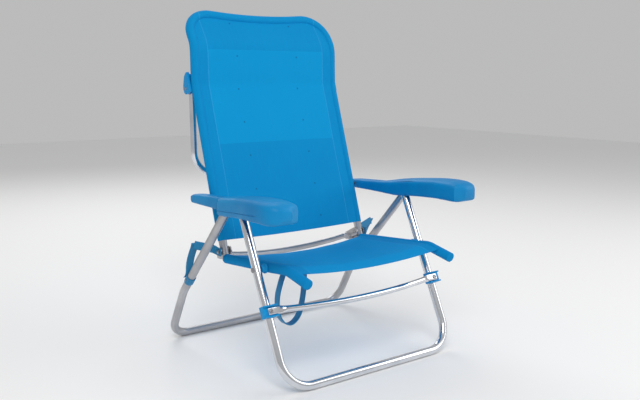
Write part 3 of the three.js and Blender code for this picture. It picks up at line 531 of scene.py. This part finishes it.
def press(obj, centre, amount, thin, thin_half, wide_half, radius, drift=0.0):
    """Squeezes a bar along thin and sets its half width across it, by amount(point) from 0 to 1."""
    for vertex in obj.data.vertices:
        share = min(1.0, max(0.0, amount(vertex.co)))
        share = share * share * (3 - 2 * share)
        middle = centre(vertex.co)
        off = vertex.co - middle
        depth = off.dot(thin)
        wide = off - thin * depth
        depth = depth * (1 + share * (thin_half / radius - 1)) + drift * share
        vertex.co = middle + thin * depth + wide * (1 + share * (wide_half / radius - 1))
    return obj


bar_route = [bar_centre((k / 60) * (FRONT_LEG_X + 0.008)) for k in range(-60, 61)]
crossbar = tube("front_bar", bar_route, FRONT_BAR_R)
press(crossbar, lambda p: bar_centre(p.x), lambda p: (abs(p.x) - 0.222) / 0.022, front_out, 0.0018,
      0.0095, FRONT_BAR_R)
smooth(crossbar, 50)
finish_piece(crossbar, "front_leg", polished, "polished_tube", "front_crossbar")

# %% [markdown]
# ### Saddles
# Each saddle could be a plain block. It is a side outline with two lips instead, bored for the leg and
# rounded at its edges, so that the pressed bar lies between the lips.

# %% Saddles
def leg_plate(name, outline, x, half_width):
    """A side outline of (out, up) points in the front leg's tilted frame at the crossbar."""
    vertices = [on_leg + Vector((x + side * half_width, 0, 0)) + front_out * out + front_up * up
                for side in (-1, 1) for out, up in outline]
    count = len(outline)
    faces = [tuple(range(count)), tuple(range(2 * count - 1, count - 1, -1))]
    faces += [(k, (k + 1) % count, (k + 1) % count + count, k + count) for k in range(count)]
    return new_mesh(name, vertices, faces)


for side_name, s in SIDES:
    x = s * FRONT_LEG_X
    face = TUBE_R + 0.005
    lip = face + 0.0059
    outline = [(-0.001, -0.0145), (lip, -0.0145), (lip + 0.001, -0.0125), (lip, -0.0106), (face, -0.0106),
               (face, 0.0106), (lip, 0.0106), (lip + 0.001, 0.0125), (lip, 0.0145), (-0.001, 0.0145)]
    saddle = leg_plate(f"saddle_{side_name}_body", outline, x, 0.019)
    middle = on_leg + Vector((x, 0, 0))
    boolean(saddle, rod("cutter", middle - front_up * 0.04, middle + front_up * 0.04, TUBE_R + 0.0003))
    bevelled(saddle, 0.0014, 3)
    finish_piece(saddle, "front_leg", bright_moulding, "moulding", f"saddle_{side_name}")
    head = rod(f"saddle_rivet_{side_name}_head", middle + front_out * (BAR_OUT + 0.0019),
               middle + front_out * (BAR_OUT + 0.0041), 0.0058, 0.0011)
    boolean(head, rod("cutter", middle + front_out * (BAR_OUT + 0.0028),
                      middle + front_out * (BAR_OUT + 0.006), 0.0024))
    tail = rod("tail", middle - front_out * (TUBE_R + 0.0022), middle - front_out * (TUBE_R - 0.001),
               0.0055, 0.001)
    select_only(head)
    tail.select_set(True)
    bpy.ops.object.join()
    finish_piece(head, "front_leg", steel, "fastener", f"saddle_rivet_{side_name}")
print("saddles done")

# %% [markdown]
# ## Seat frame
# Two rails with domed tips slope up to a crest and fall to the hinge. Their tails are pressed flat and
# riveted to the lugs of the rear crossbar, which bows back and down behind the seat.

# %% Seat rails
SEAT_LINE = [(-0.024, 0.266), (0.056, 0.283), SEAT_PIVOT, (0.338, 0.258)]
TAIL_END = (0.398, 0.254)
PRESS_Y = 0.331
tail_slope = (TAIL_END[1] - 0.258) / (TAIL_END[0] - 0.338)


TAIL_STATIONS = (PRESS_Y, 0.335, 0.338, 0.341, 0.344, 0.347, 0.351, 0.37, 0.385, 0.392, 0.3955)


def rail_route(x, front=0.0, rear=TAIL_END[0] + 0.001):
    """Rail centre line at x, from the tip to y = rear."""
    route = rounded([at(x, y, z) for y, z in SEAT_LINE], [0.06, 0.24], 14)
    first = route[0] - (route[1] - route[0]).normalized() * front
    body = [p for p in route if p.y < PRESS_Y - MID_Y - 0.004]
    end = [at(x, y, 0.258 + (y - 0.338) * tail_slope) for y in TAIL_STATIONS + (rear,)]
    return [first] + body[1:] + [p for p in end if p.y <= rear - MID_Y + 1e-6]


for side_name, s in SIDES:
    rail = tube(f"rail_{side_name}", rail_route(s * SEAT_X), TUBE_R, 0.003)
    press(rail, lambda p: at(s * SEAT_X, p.y + MID_Y, 0.258 + (p.y + MID_Y - 0.338) * tail_slope),
          lambda p: (p.y + MID_Y - PRESS_Y) / 0.018 if p.y + MID_Y > PRESS_Y else 0.0,
          Vector((s, 0, 0)), 0.0025, 0.0085, TUBE_R, -0.0095)
    smooth(rail, 50)
    finish_piece(rail, "seat", satin, "satin_tube", f"seat_rail_{side_name}")
print("rails done")

# %% [markdown]
# ### Rear crossbar
# One bent tube carries the rear of the seat. Its ends are pressed flat and meet a lug plate on each side.

# %% Rear crossbar
LUG_X = 0.215
REAR_END = (0.385, 0.259)


def rear_bow(x):
    """Centre line of the rear crossbar between its corners."""
    t = 1 - (x / LUG_X) ** 2
    return at(x, REAR_END[0] + 0.034 * t, REAR_END[1] - 0.025 * t)


half_route = rounded([at(LUG_X, 0.372, 0.2625), at(LUG_X, 0.389, 0.259), rear_bow(LUG_X * 0.8)], 0.012, 8)
half_route += [rear_bow(LUG_X * t) for t in (0.7, 0.6, 0.5, 0.4, 0.3, 0.2, 0.1)]
rear_route = half_route + [rear_bow(0)] + [Vector((-p.x, p.y, p.z)) for p in reversed(half_route)]
rear_bar = tube("rear_bar", rear_route, REAR_BAR_R, 0.002)
press(rear_bar, lambda p: Vector((math.copysign(LUG_X, p.x), p.y, 0.2605)) if abs(p.x) > 0.2 else p.copy(),
      lambda p: (0.386 - (p.y + MID_Y)) / 0.012 if abs(p.x) > 0.2 else 0.0,
      Vector((1, 0, 0)), 0.002, 0.010, REAR_BAR_R)


def link(a, ra, b, rb, steps=14):
    """Side outline round two circles."""
    along = math.atan2(b[1] - a[1], b[0] - a[0])
    lean = math.acos((ra - rb) / math.dist(a, b))
    outline = []
    for centre, radius, start, sweep in ((a, ra, along + lean, 2 * math.pi - 2 * lean),
                                         (b, rb, along - lean, 2 * lean)):
        for k in range(steps + 1):
            t = start + sweep * k / steps
            outline.append((centre[0] + radius * math.cos(t), centre[1] + radius * math.sin(t)))
    return outline


for s in (1, -1):
    lug = plate("lug", link(BACK_PIVOT, 0.012, (0.383, 0.2605), 0.010), s * (LUG_X - 0.002),
                s * (LUG_X + 0.002))
    bevelled(lug, 0.0006, 2)
    select_only(rear_bar)
    lug.select_set(True)
    bpy.ops.object.join()
finish_piece(rear_bar, "seat", satin, "satin_tube", "rear_crossbar")
print("rear crossbar", len(rear_bar.data.vertices))

# %% [markdown]
# ## Seat fabric
# The mesh is sewn into a sleeve round each rail; the panel between sags. The sleeve is closed over the
# rail's domed tip.

# %% Seat fabric
def rail_z(y):
    """Height of the rail's centre line at y."""
    route = rounded([at(0, *p) for p in SEAT_LINE], [0.06, 0.24], 14)
    for a, b in zip(route, route[1:]):
        if b.y + MID_Y >= y:
            return a.z + (b.z - a.z) * (y - a.y - MID_Y) / (b.y - a.y)
    return route[-1].z


SEAT_HEM = (0.012, 0.324)


def seat_place(u, v):
    """Seat panel: u across, v from front to rear, tucked into the sleeves at its sides."""
    x = (2 * u - 1) * (SEAT_X - 0.004)
    t = 1 - (x / SEAT_X) ** 2
    inset = 0.006 * t
    y = SEAT_HEM[0] + inset + (SEAT_HEM[1] - 2 * inset - SEAT_HEM[0]) * v
    ripple = 0.0006 * math.sin(30 * u) * math.sin(9 * v)
    return at(x, y, rail_z(y) + 0.0095 - 0.0175 * t + ripple)


seat_panel = cloth("seat_panel", seat_place, 60, 50, 0.0016)
finish_piece(seat_panel, "seat", seat_mesh, "woven_mesh", "seat_cover")
for side_name, s in SIDES:
    route = [p for p in rail_route(s * SEAT_X, 0.0012) if p.y < 0.336 - MID_Y]
    sleeve = tube(f"seat_sleeve_{side_name}", route, SLEEVE_R, 0.004)
    finish_piece(sleeve, "seat", seat_mesh, "woven_mesh")
print("seat fabric", len(seat_panel.data.polygons))

# %% [markdown]
# ### Seat pivots
# A turned spacer holds each rail away from the leg, and a bolt with a domed head passes through both.
# They are rods with rounded rims.

# %% Seat pivots
for side_name, s in SIDES:
    spacer_in = SEAT_X + SLEEVE_R + 0.0004
    spacer = rod(f"spacer_{side_name}", at(s * spacer_in, *SEAT_PIVOT),
                 at(s * (spacer_in + 0.005), *SEAT_PIVOT), 0.012, 0.0012)
    neck = rod("neck", at(s * (spacer_in + 0.004), *SEAT_PIVOT),
               at(s * (FRONT_LEG_X - TUBE_R - 0.0003), *SEAT_PIVOT), 0.009)
    boolean(spacer, neck, "UNION")
    finish_piece(spacer, "front_leg", bright_moulding, "moulding", f"seat_spacer_{side_name}")
    outer = FRONT_LEG_X + TUBE_R
    bolt = rod(f"seat_bolt_{side_name}", at(s * (outer - 0.004), *SEAT_PIVOT),
               at(s * (outer + 0.0024), *SEAT_PIVOT), 0.0058, 0.0015)
    finish_piece(bolt, "front_leg", steel, "fastener", f"seat_pivot_bolt_{side_name}")

# %% [markdown]
# ## Backrest
# One tube bent in two directions: seen from the side it runs up, turns upright at the knee and leans back
# at the head; seen from the front it is an inverted U whose top bar dips in the middle. The mesh sleeve
# follows the tube, and the panel between hangs from it.

# %% Backrest line
back_low = (BACK_PIVOT[0] - 0.021 * BACK_SLOPE, BACK_PIVOT[1] - 0.021)
back_knee = (BACK_PIVOT[0] + (BACK_KNEE_Z - BACK_PIVOT[1]) * BACK_SLOPE, BACK_KNEE_Z)
back_neck = (back_knee[0] + (BACK_NECK_Z - BACK_KNEE_Z) * NECK_SLOPE, BACK_NECK_Z)
back_top = (back_neck[0] + (BACK_TOP_Z - BACK_NECK_Z) * HEAD_SLOPE, BACK_TOP_Z)
back_line = rounded([at(0, *p) for p in (back_low, back_knee, back_neck, back_top)], 0.07, 16)
back_run = [0.0]
for a, b in zip(back_line, back_line[1:]):
    back_run.append(back_run[-1] + (b - a).length)
BACK_LENGTH = back_run[-1]


def back_point(x, run, behind=0.0):
    """Point of the bent backrest surface at x, at a distance along its side line, and behind it."""
    i = next((k for k in range(1, len(back_run)) if back_run[k] >= run), len(back_run) - 1)
    t = (run - back_run[i - 1]) / (back_run[i] - back_run[i - 1])
    along = back_line[i] - back_line[i - 1]
    square = Vector((0, along.z, -along.y)).normalized()
    place = back_line[i - 1] + along * t + square * behind
    return Vector((x, place.y, place.z))


def run_at(z):
    """Distance along the side line at a height below the knee."""
    return (z - back_low[1]) * math.hypot(1, BACK_SLOPE)


def dip(x):
    """Fall of the top bar at x."""
    return BACK_TOP_DIP * (1 - (x / BACK_X) ** 2)


def back_route(start):
    """Route of the backrest tube from start on one side, over the top and down the other."""
    last = BACK_LENGTH - BACK_CORNER_R
    half = [(BACK_X, start)] + [(BACK_X, r) for r in back_run if start + 0.005 < r < last - 0.002]
    for k in range(21):
        a = math.pi / 2 * k / 20
        half.append((BACK_X - BACK_CORNER_R * (1 - math.cos(a)), last + BACK_CORNER_R * math.sin(a)))
    half += [(x, BACK_LENGTH) for x in (0.125, 0.1, 0.075, 0.05, 0.025)]
    whole = half + [(0.0, BACK_LENGTH)] + [(-x, r) for x, r in reversed(half)]
    return [back_point(x, r - dip(x)) for x, r in whole]


hem_run = run_at(BACK_HEM_Z)
back_tube = tube("back_tube", back_route(0.0115), TUBE_R, 0.005)
finish_piece(back_tube, "backrest", satin, "satin_tube", "backrest_frame")
back_sleeve = tube("back_sleeve", back_route(hem_run), SLEEVE_R, 0.0006)
finish_piece(back_sleeve, "backrest", back_mesh, "woven_mesh")
print("backrest length", round(BACK_LENGTH, 3))

# %% [markdown]
# ### Backrest panel and pocket
# The panel is one stretched sheet. A cloth simulation would suit padding, but a stretched sheet is the
# same smooth surface every time when its sag is a formula. The pocket hangs loose behind it.

# %% Backrest panel
def half_width(run):
    """Half the panel's width at a distance along the side line."""
    rise = max(0.0, run - (BACK_LENGTH - BACK_CORNER_R)) / BACK_CORNER_R
    return BACK_X - BACK_CORNER_R * (1 - math.sqrt(max(0.0, 1 - rise * rise)))


def back_place(u, v):
    """Backrest panel: u across, v from the hem to the top bar."""
    run = hem_run + (BACK_LENGTH - 0.001 - hem_run) * v
    x = (2 * u - 1) * (half_width(run) - 0.003)
    t = 1 - (x / BACK_X) ** 2
    top = max(0.0, (v - 0.8) / 0.2)
    behind = -0.0085 + 0.0075 * t * (1 - top) + 0.006 * top
    ripple = 0.0008 * math.sin(24 * u + 3 * v) * math.sin(14 * v) * (1 - top)
    return back_point(x, run - dip(x) * v - 0.003 * t * (1 - v), behind + ripple)


back_panel = cloth("back_panel", back_place, 60, 110, 0.0014)
finish_piece(back_panel, "backrest", back_mesh, "woven_mesh", "backrest_cover")


def pocket_place(u, v):
    """Pocket on the rear of the lower back, a little loose at its mouth."""
    run = hem_run + 0.004 + (run_at(POCKET_TOP_Z) - hem_run - 0.004) * v
    x = (2 * u - 1) * 0.190
    t = 1 - (x / BACK_X) ** 2
    loose = 0.0022 + 0.006 * v * v * (1 - (x / 0.19) ** 2)
    return back_point(x, run - dip(x) * run / BACK_LENGTH, -0.0085 + 0.0075 * t + loose)


pocket = cloth("rear_pocket", pocket_place, 40, 30, 0.0012)
finish_piece(pocket, "backrest", back_mesh, "woven_mesh", "back_pocket")
print("backrest fabric done")

# %% [markdown]
# ## Support leg
# A U of polished tube hangs behind the backrest from two clamps. It swings out to hold the backrest when
# it lies flat.

# %% Support leg
stand_tilt = math.atan(BACK_SLOPE)
up_back = Vector((0, math.sin(stand_tilt), math.cos(stand_tilt)))
behind_back = Vector((0, math.cos(stand_tilt), -math.sin(stand_tilt)))
clamp_at = at(0, BACK_PIVOT[0] + (0.703 - BACK_PIVOT[1]) * BACK_SLOPE, 0.703)
stand_pivot = clamp_at + behind_back * 0.023
stand_foot = stand_pivot + Vector((0, -0.006, -0.232))
stand_top = stand_pivot + Vector((0, 0, 0.0085))
stand_route = rounded([across(stand_top, BACK_X), across(stand_foot, BACK_X), across(stand_foot, -BACK_X),
                       across(stand_top, -BACK_X)], 0.062, 18)
stand = tube("support_leg", stand_route, STAND_R, 0.004)
finish_piece(stand, "stand", polished, "polished_tube", "stand_frame")


def clamp_plate(name, outline, x0, x1):
    """A side outline of (along the tube, behind it), given thickness in x."""
    count = len(outline)
    vertices = [across(clamp_at + up_back * a + behind_back * b, x) for x in (x0, x1) for a, b in outline]
    faces = [tuple(range(count)), tuple(range(2 * count - 1, count - 1, -1))]
    faces += [(k, (k + 1) % count, (k + 1) % count + count, k + count) for k in range(count)]
    return new_mesh(name, vertices, faces)


for side_name, s in SIDES:
    outline = [(-0.014, 0.002), (0.04, 0.002), (0.0405, 0.008), (0.034, 0.02), (0.012, 0.033),
               (0.002, 0.0355), (-0.008, 0.034),
               (-0.014, 0.028)]
    bracket = clamp_plate(f"bracket_{side_name}", outline, s * BACK_X - 0.0195, s * BACK_X + 0.0195)
    centre = across(clamp_at, s * BACK_X)
    boolean(bracket, rod("cutter", centre - up_back * 0.06, centre + up_back * 0.08, SLEEVE_R + 0.0006))
    slot = clamp_plate("slot", [(-0.06, SLEEVE_R + 0.0006), (0.014, SLEEVE_R + 0.0006), (0.014, 0.08),
                                (-0.06, 0.08)],
                       s * BACK_X - 0.0105, s * BACK_X + 0.0105)
    boolean(bracket, slot)
    bevelled(bracket, 0.0016, 3)
    finish_piece(bracket, "backrest", bright_moulding, "moulding", f"stand_bracket_{side_name}")
    for k, direction in enumerate((-1, 1)):
        start = across(stand_pivot, s * BACK_X + direction * 0.0188)
        cap = rod(f"stand_rivet_{side_name}_{k}", start, start + Vector((direction * 0.0022, 0, 0)),
                  0.0048, 0.0009)
        finish_piece(cap, "backrest", steel, "fastener", f"stand_pin_{side_name}")
print("support leg done")

# %% [markdown]
# ## Armrests
# One moulding a side: broad and deep at the hand rest, narrow behind the legs. Rings with rounded corners
# are skinned from rear to front, then hollowed from below in the lanes where the two legs lie. A toothed
# rack runs down the middle of the hollow and takes the leg pin. A groove on the outer side marks where
# the lower shell meets the pad.

# %% Armrest outer form
ARM_IN = 0.2495
ARM_STATIONS = [  # y, underside, top, outer face
    (0.432, 0.411, 0.414, 0.277), (0.429, 0.404, 0.420, 0.282), (0.420, 0.4005, 0.423, 0.285),
    (0.387, 0.400, 0.427, 0.285), (0.330, 0.400, 0.430, 0.285), (0.272, 0.399, 0.433, 0.285),
    (0.256, 0.398, 0.436, 0.291), (0.240, 0.397, 0.439, 0.312), (0.222, 0.396, 0.4425, 0.319),
    (0.200, 0.397, 0.446, 0.320), (0.163, 0.401, 0.4505, 0.322), (0.120, 0.404, 0.455, 0.325),
    (0.074, 0.406, 0.459, 0.331), (0.033, 0.407, 0.460, 0.333), (0.005, 0.406, 0.459, 0.332),
    (-0.014, 0.407, 0.455, 0.326), (-0.024, 0.411, 0.449, 0.316), (-0.028, 0.419, 0.440, 0.303),
]


def arm_row(y):
    """Underside, top and outer face at y, eased between the stations."""
    rows = ARM_STATIONS
    for i in range(len(rows) - 1):
        if rows[i][0] >= y >= rows[i + 1][0]:
            t = (rows[i][0] - y) / (rows[i][0] - rows[i + 1][0])
            a, b = rows[i], rows[i + 1]
            smooth_t = t * t * (3 - 2 * t) if i in (5, 6, 7) else t
            return [a[k] + (b[k] - a[k]) * smooth_t for k in (1, 2, 3)]
    return list(rows[-1][1:])


def arm_ring(y, s):
    """Ring of the armrest at y: a rounded box, crowned on top."""
    under, top, outer = arm_row(y)
    front = max(0.0, min(1.0, (-y - 0.012) / 0.016))
    inner = ARM_IN + 0.026 * front * front * (3 - 2 * front)
    cx, cz = (inner + outer) / 2, (under + top) / 2
    w, h = (outer - inner) / 2, (top - under) / 2
    ring = []
    for k in range(40):
        a = 2 * math.pi * (k + 0.5) / 40
        c, n = math.cos(a), math.sin(a)
        power = 0.42 if n > 0 else 0.3
        x = cx + w * math.copysign(abs(c) ** power, c)
        z = cz + h * math.copysign(abs(n) ** power, n)
        if n > 0:
            z -= 0.16 * h * abs((x - cx) / w) ** 2.2
        ring.append(at(s * x, y, z))
    return ring


arm_ys = [0.432, 0.431, 0.429, 0.426, 0.42]
arm_ys += [0.41 - 0.01 * k for k in range(14)]
arm_ys += [0.27 - 0.005 * k for k in range(14)]
arm_ys += [0.2 - 0.012 * k for k in range(17)]
arm_ys += [0.0, -0.006, -0.012, -0.017, -0.021, -0.024, -0.026, -0.0272, -0.028]
arm_ys = sorted(set(arm_ys), reverse=True)

# %% [markdown]
# ### Hollow, rack and groove
# The moulding is thin-walled, so it is cut from below with booleans. The rack's notches are cuts too,
# all by one loop.

# %% Hollow, rack and groove
LANE_IN = ARM_IN + 0.004
NOTCHES = 7
NOTCH_PITCH = 0.023
NOTCH_R = 0.0065
NOTCH_Z = 0.4218
roof = [(0.425, 0.408), (0.387, 0.4215), (0.272, 0.4275), (0.24, 0.4325), (0.206, 0.4385),
        (0.163, 0.4445), (0.046, 0.451)]


def side_prism(outline, x0, x1, s):
    """A cutter from a side outline, on one side of the chair."""
    return plate("cutter", outline, s * x0, s * x1)


for side_name, s in SIDES:
    arm = loft(f"arm_{side_name}", [arm_ring(y, s) for y in arm_ys])
    lanes = [
        ([(0.046, 0.37), (0.422, 0.37), (0.422, 0.414)] + roof[1:], LANE_IN, 0.281),
        ([(0.046, 0.37), (0.239, 0.37), (0.239, 0.4325)] + roof[4:], 0.2535, 0.3135),
        ([(0.2, 0.37), (0.262, 0.37), (0.262, 0.4305), (0.2, 0.4305)], 0.2845, 0.3095),
    ]
    for outline, x0, x1 in lanes:
        boolean(arm, side_prism(outline, x0, x1, s))
    groove = loft("cutter", [[at(s * (arm_row(y)[2] - 0.0012), y, z - 0.0008), at(s * 0.345, y, z - 0.0008),
                              at(s * 0.345, y, z + 0.0008), at(s * (arm_row(y)[2] - 0.0012), y, z + 0.0008)]
                             for y, z in [(0.245 - 0.01 * k, 0.408 + 0.0008 * k) for k in range(22)]])
    boolean(arm, groove)
    smooth(arm, 32)
    rack = plate(f"rack_{side_name}", [(0.05, 0.4263), (0.214, 0.4263), (0.214, 0.439), (0.163, 0.4445),
                                       (0.05, 0.4515)],
                 s * 0.2805, s * 0.2845)
    for k in range(NOTCHES):
        y = LEG_PIVOT[0] - NOTCH_PITCH * k
        boolean(rack, rod("cutter", at(s * 0.27, y, NOTCH_Z), at(s * 0.295, y, NOTCH_Z), NOTCH_R))
    finish_piece(arm, "armrests", moulding, "moulding", f"armrest_{side_name}")
    finish_piece(rack, "armrests", moulding, "moulding")
    print(arm.name, len(arm.data.polygons))

# %% [markdown]
# ### Pins in the armrests
# Short rods, with the same metal finish as the other fasteners.

# %% Leg and armrest pins
for side_name, s in SIDES:
    pin = rod(f"leg_pin_{side_name}", at(s * 0.2548, *LEG_PIVOT), at(s * 0.3103, *LEG_PIVOT), 0.004, 0.0006)
    finish_piece(pin, "front_leg", steel, "fastener", f"leg_pivot_pin_{side_name}")
    pin = rod(f"arm_pin_{side_name}", at(s * 0.2155, 0.391, 0.414), at(s * 0.2552, 0.391, 0.414), 0.003,
              0.0004)
    finish_piece(pin, "backrest", steel, "fastener", f"armrest_pin_{side_name}")

# %% [markdown]
# ## Hinges and webbing
# The hinge pin carries a washer and the limit strap's eye. The strap runs outwards behind the rear leg,
# folds, and runs down to a collar sewn round the leg. A loop of webbing for carrying hangs from the seat
# behind the front crossbar.

# %% Hinge pins and washers
for side_name, s in SIDES:
    pin = rod(f"hinge_{side_name}", at(s * 0.2112, *BACK_PIVOT), at(s * 0.2485, *BACK_PIVOT), 0.003)
    for x0, x1 in ((0.2485, 0.2502), (0.2112, 0.2127)):
        boolean(pin, rod("head", at(s * x0, *BACK_PIVOT), at(s * x1, *BACK_PIVOT), 0.006, 0.0006), "UNION")
    finish_piece(pin, "seat", steel, "fastener", f"hinge_pin_{side_name}")
    washer = rod(f"washer_{side_name}", at(s * 0.2413, *BACK_PIVOT), at(s * 0.2443, *BACK_PIVOT), 0.009,
                 0.0006)
    boolean(washer, rod("cutter", at(s * 0.23, *BACK_PIVOT), at(s * 0.26, *BACK_PIVOT), 0.0033))
    finish_piece(washer, "seat", steel, "fastener", f"hinge_washer_{side_name}")


def eased(points, steps=6):
    """Catmull-Rom route through the points."""
    route = []
    for i in range(len(points) - 1):
        p0, p1, p2, p3 = points[max(i - 1, 0)], points[i], points[i + 1], points[min(i + 2, len(points) - 1)]
        for k in range(steps):
            t = k / steps
            route.append(0.5 * (2 * p1 + (p2 - p0) * t + (2 * p0 - 5 * p1 + 4 * p2 - p3) * t * t
                                + (3 * p1 - 3 * p2 + p3 - p0) * t * t * t))
    route.append(points[-1])
    return route


# %% [markdown]
# ### Limit straps
# Each strap is a flat ribbon along a route of chosen points: out from the hinge, over a fold and down to
# the leg. A ribbon keeps its width through the fold, which a round cord wouldn't.

# %% Limit straps
WEB_W = 0.022
WEB_T = 0.0014
collar_mid = at(0, *LEG_PIVOT) + Vector((0, REAR_KNEE[0] - LEG_PIVOT[0], REAR_KNEE[1] - LEG_PIVOT[1])) * 0.845
leg_behind = Vector((0, -rear_run.z, rear_run.y))
for side_name, s in SIDES:
    edge = across(collar_mid + leg_behind * (TUBE_R + 0.0012), s * 0.299)
    upper = eased([at(s * 0.2471, 0.334, 0.277), at(s * 0.2471, 0.347, 0.277),
                   at(s * 0.2475, 0.356, 0.278), at(s * 0.256, 0.368, 0.283),
                   at(s * 0.28, 0.3735, 0.290), at(s * 0.303, 0.376, 0.297)])
    strap = ribbon(f"strap_{side_name}", upper, [Vector((0, 0, 1))] * len(upper), WEB_W, WEB_T)
    lower = eased([at(s * 0.300, 0.3755, 0.303), at(s * 0.2995, 0.381, 0.292),
                   at(s * 0.299, 0.397, 0.268), at(s * 0.299, 0.4085, 0.243),
                   edge - rear_run * 0.012, edge + rear_run * 0.006])
    tail = ribbon("tail", lower, [Vector((1, 0, 0))] * len(lower), WEB_W, WEB_T)
    ring = rod("ring", across(collar_mid - rear_run * 0.012, s * REAR_LEG_X),
               across(collar_mid + rear_run * 0.012, s * REAR_LEG_X),
               TUBE_R + 0.0019, 0.0005)
    boolean(ring, rod("cutter", across(collar_mid - rear_run * 0.03, s * REAR_LEG_X),
                      across(collar_mid + rear_run * 0.03, s * REAR_LEG_X), TUBE_R + 0.0004))
    select_only(strap)
    tail.select_set(True)
    ring.select_set(True)
    bpy.ops.object.join()
    finish_piece(strap, "rear_leg", webbing, "webbing", f"limit_strap_{side_name}")
    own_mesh(strap)
    button = across(collar_mid, s * (REAR_LEG_X + TUBE_R + 0.0016))
    rivet = rod(f"strap_rivet_{side_name}", button, button + Vector((s * 0.0018, 0, 0)), 0.0035, 0.0008)
    finish_piece(rivet, "rear_leg", steel, "fastener")

# %% [markdown]
# ### Carry strap
# A loop of the same webbing, with both ends under the seat.

# %% Carry strap
LOOP_W = 0.020
loop = eased([
    at(-0.205, 0.109, 0.262), at(-0.214, 0.109, 0.24), at(-0.2235, 0.109, 0.205), at(-0.222, 0.109, 0.165),
    at(-0.208, 0.109, 0.141), at(-0.190, 0.109, 0.132), at(-0.172, 0.109, 0.139), at(-0.158, 0.108, 0.160),
    at(-0.149, 0.106, 0.205), at(-0.147, 0.104, 0.256),
])
carry = ribbon("carry_loop", loop, [Vector((0, 1, 0))] * len(loop), LOOP_W, 2 * WEB_T)
finish_piece(carry, "seat", webbing, "webbing", "carry_strap")
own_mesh(carry)
print("webbing done")

# %% [markdown]
# ## Leftover CAD nodes
# Small fasteners keep their CAD shape and only need a metal finish.

# %% Finish the CAD nodes that stay
kept = []
for name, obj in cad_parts.items():
    if not obj.hide_render:
        obj.data.materials.clear()
        obj.data.materials.append(steel)
        smooth(obj, 35)
        kept.append(name)
print("kept CAD nodes", kept)

# %% [markdown]
# ## Studio
# A plain pale floor, soft light from above and both sides, and colours shown as they
# are. The camera stands 37 degrees round from the front towards the sitter's right.

# %% Floor and light
bpy.ops.mesh.primitive_plane_add(size=14)
floor = bpy.context.view_layer.objects.active
floor.name = "floor"
floor_mat, floor_tree, floor_shader, floor_place = material("pale_floor")
floor_shader.inputs["Base Color"].default_value = linear("F4F4F4")
floor_shader.inputs["Roughness"].default_value = 0.7
floor.data.materials.append(floor_mat)


def area_light(name, place, target, size, power):
    """A soft square light that faces the target."""
    bpy.ops.object.light_add(type="AREA", location=place)
    light = bpy.context.view_layer.objects.active
    light.name = name
    light.data.size = size
    light.data.energy = power
    light.rotation_euler = (Vector(target) - Vector(place)).to_track_quat("-Z", "Y").to_euler()


SKY_STRENGTH = 0.5
area_light("key", (-1.6, -2.2, 3.0), (0, 0, 0.45), 1.8, 56)
area_light("fill", (2.6, -1.6, 1.8), (0, 0, 0.45), 2.2, 30)
area_light("rim", (0.6, 2.6, 2.6), (0, 0, 0.5), 2.0, 34)
world = bpy.data.worlds.new("studio")
bpy.context.scene.world = world
world.use_nodes = True
sky = world.node_tree.nodes["Background"]
sky.inputs[0].default_value = (1, 1, 1, 1)
sky.inputs[1].default_value = SKY_STRENGTH
bpy.context.scene.view_settings.view_transform = "Standard"

# %% [markdown]
# ## Camera
# A camera could be aimed at a target, but that leaves no say over its roll. It is given by a place and
# three angles instead, and its axes are worked out from them.

# %% Camera
CAMERA_PLACE = (-1.2452, -1.6641, 0.7312)
CAMERA_YAW = math.radians(37.249)
CAMERA_PITCH = math.radians(-9.003)
CAMERA_ROLL = math.radians(0.254)
CAMERA_LENS = 43.98
reach = math.cos(CAMERA_PITCH)
forward = Vector((math.sin(CAMERA_YAW) * reach, math.cos(CAMERA_YAW) * reach, math.sin(CAMERA_PITCH)))
level = forward.cross(Vector((0, 0, 1))).normalized()
upright = level.cross(forward)
right = level * math.cos(CAMERA_ROLL) + upright * math.sin(CAMERA_ROLL)
above = upright * math.cos(CAMERA_ROLL) - level * math.sin(CAMERA_ROLL)
camera_data = bpy.data.cameras.new("camera")
camera_data.lens = CAMERA_LENS
camera_data.sensor_width = 36
camera = bpy.data.objects.new("camera", camera_data)
bpy.context.scene.collection.objects.link(camera)
axes = Matrix((right, above, -forward)).transposed().to_4x4()
camera.matrix_world = Matrix.Translation(CAMERA_PLACE) @ axes
bpy.context.scene.camera = camera
print("camera at", CAMERA_PLACE)
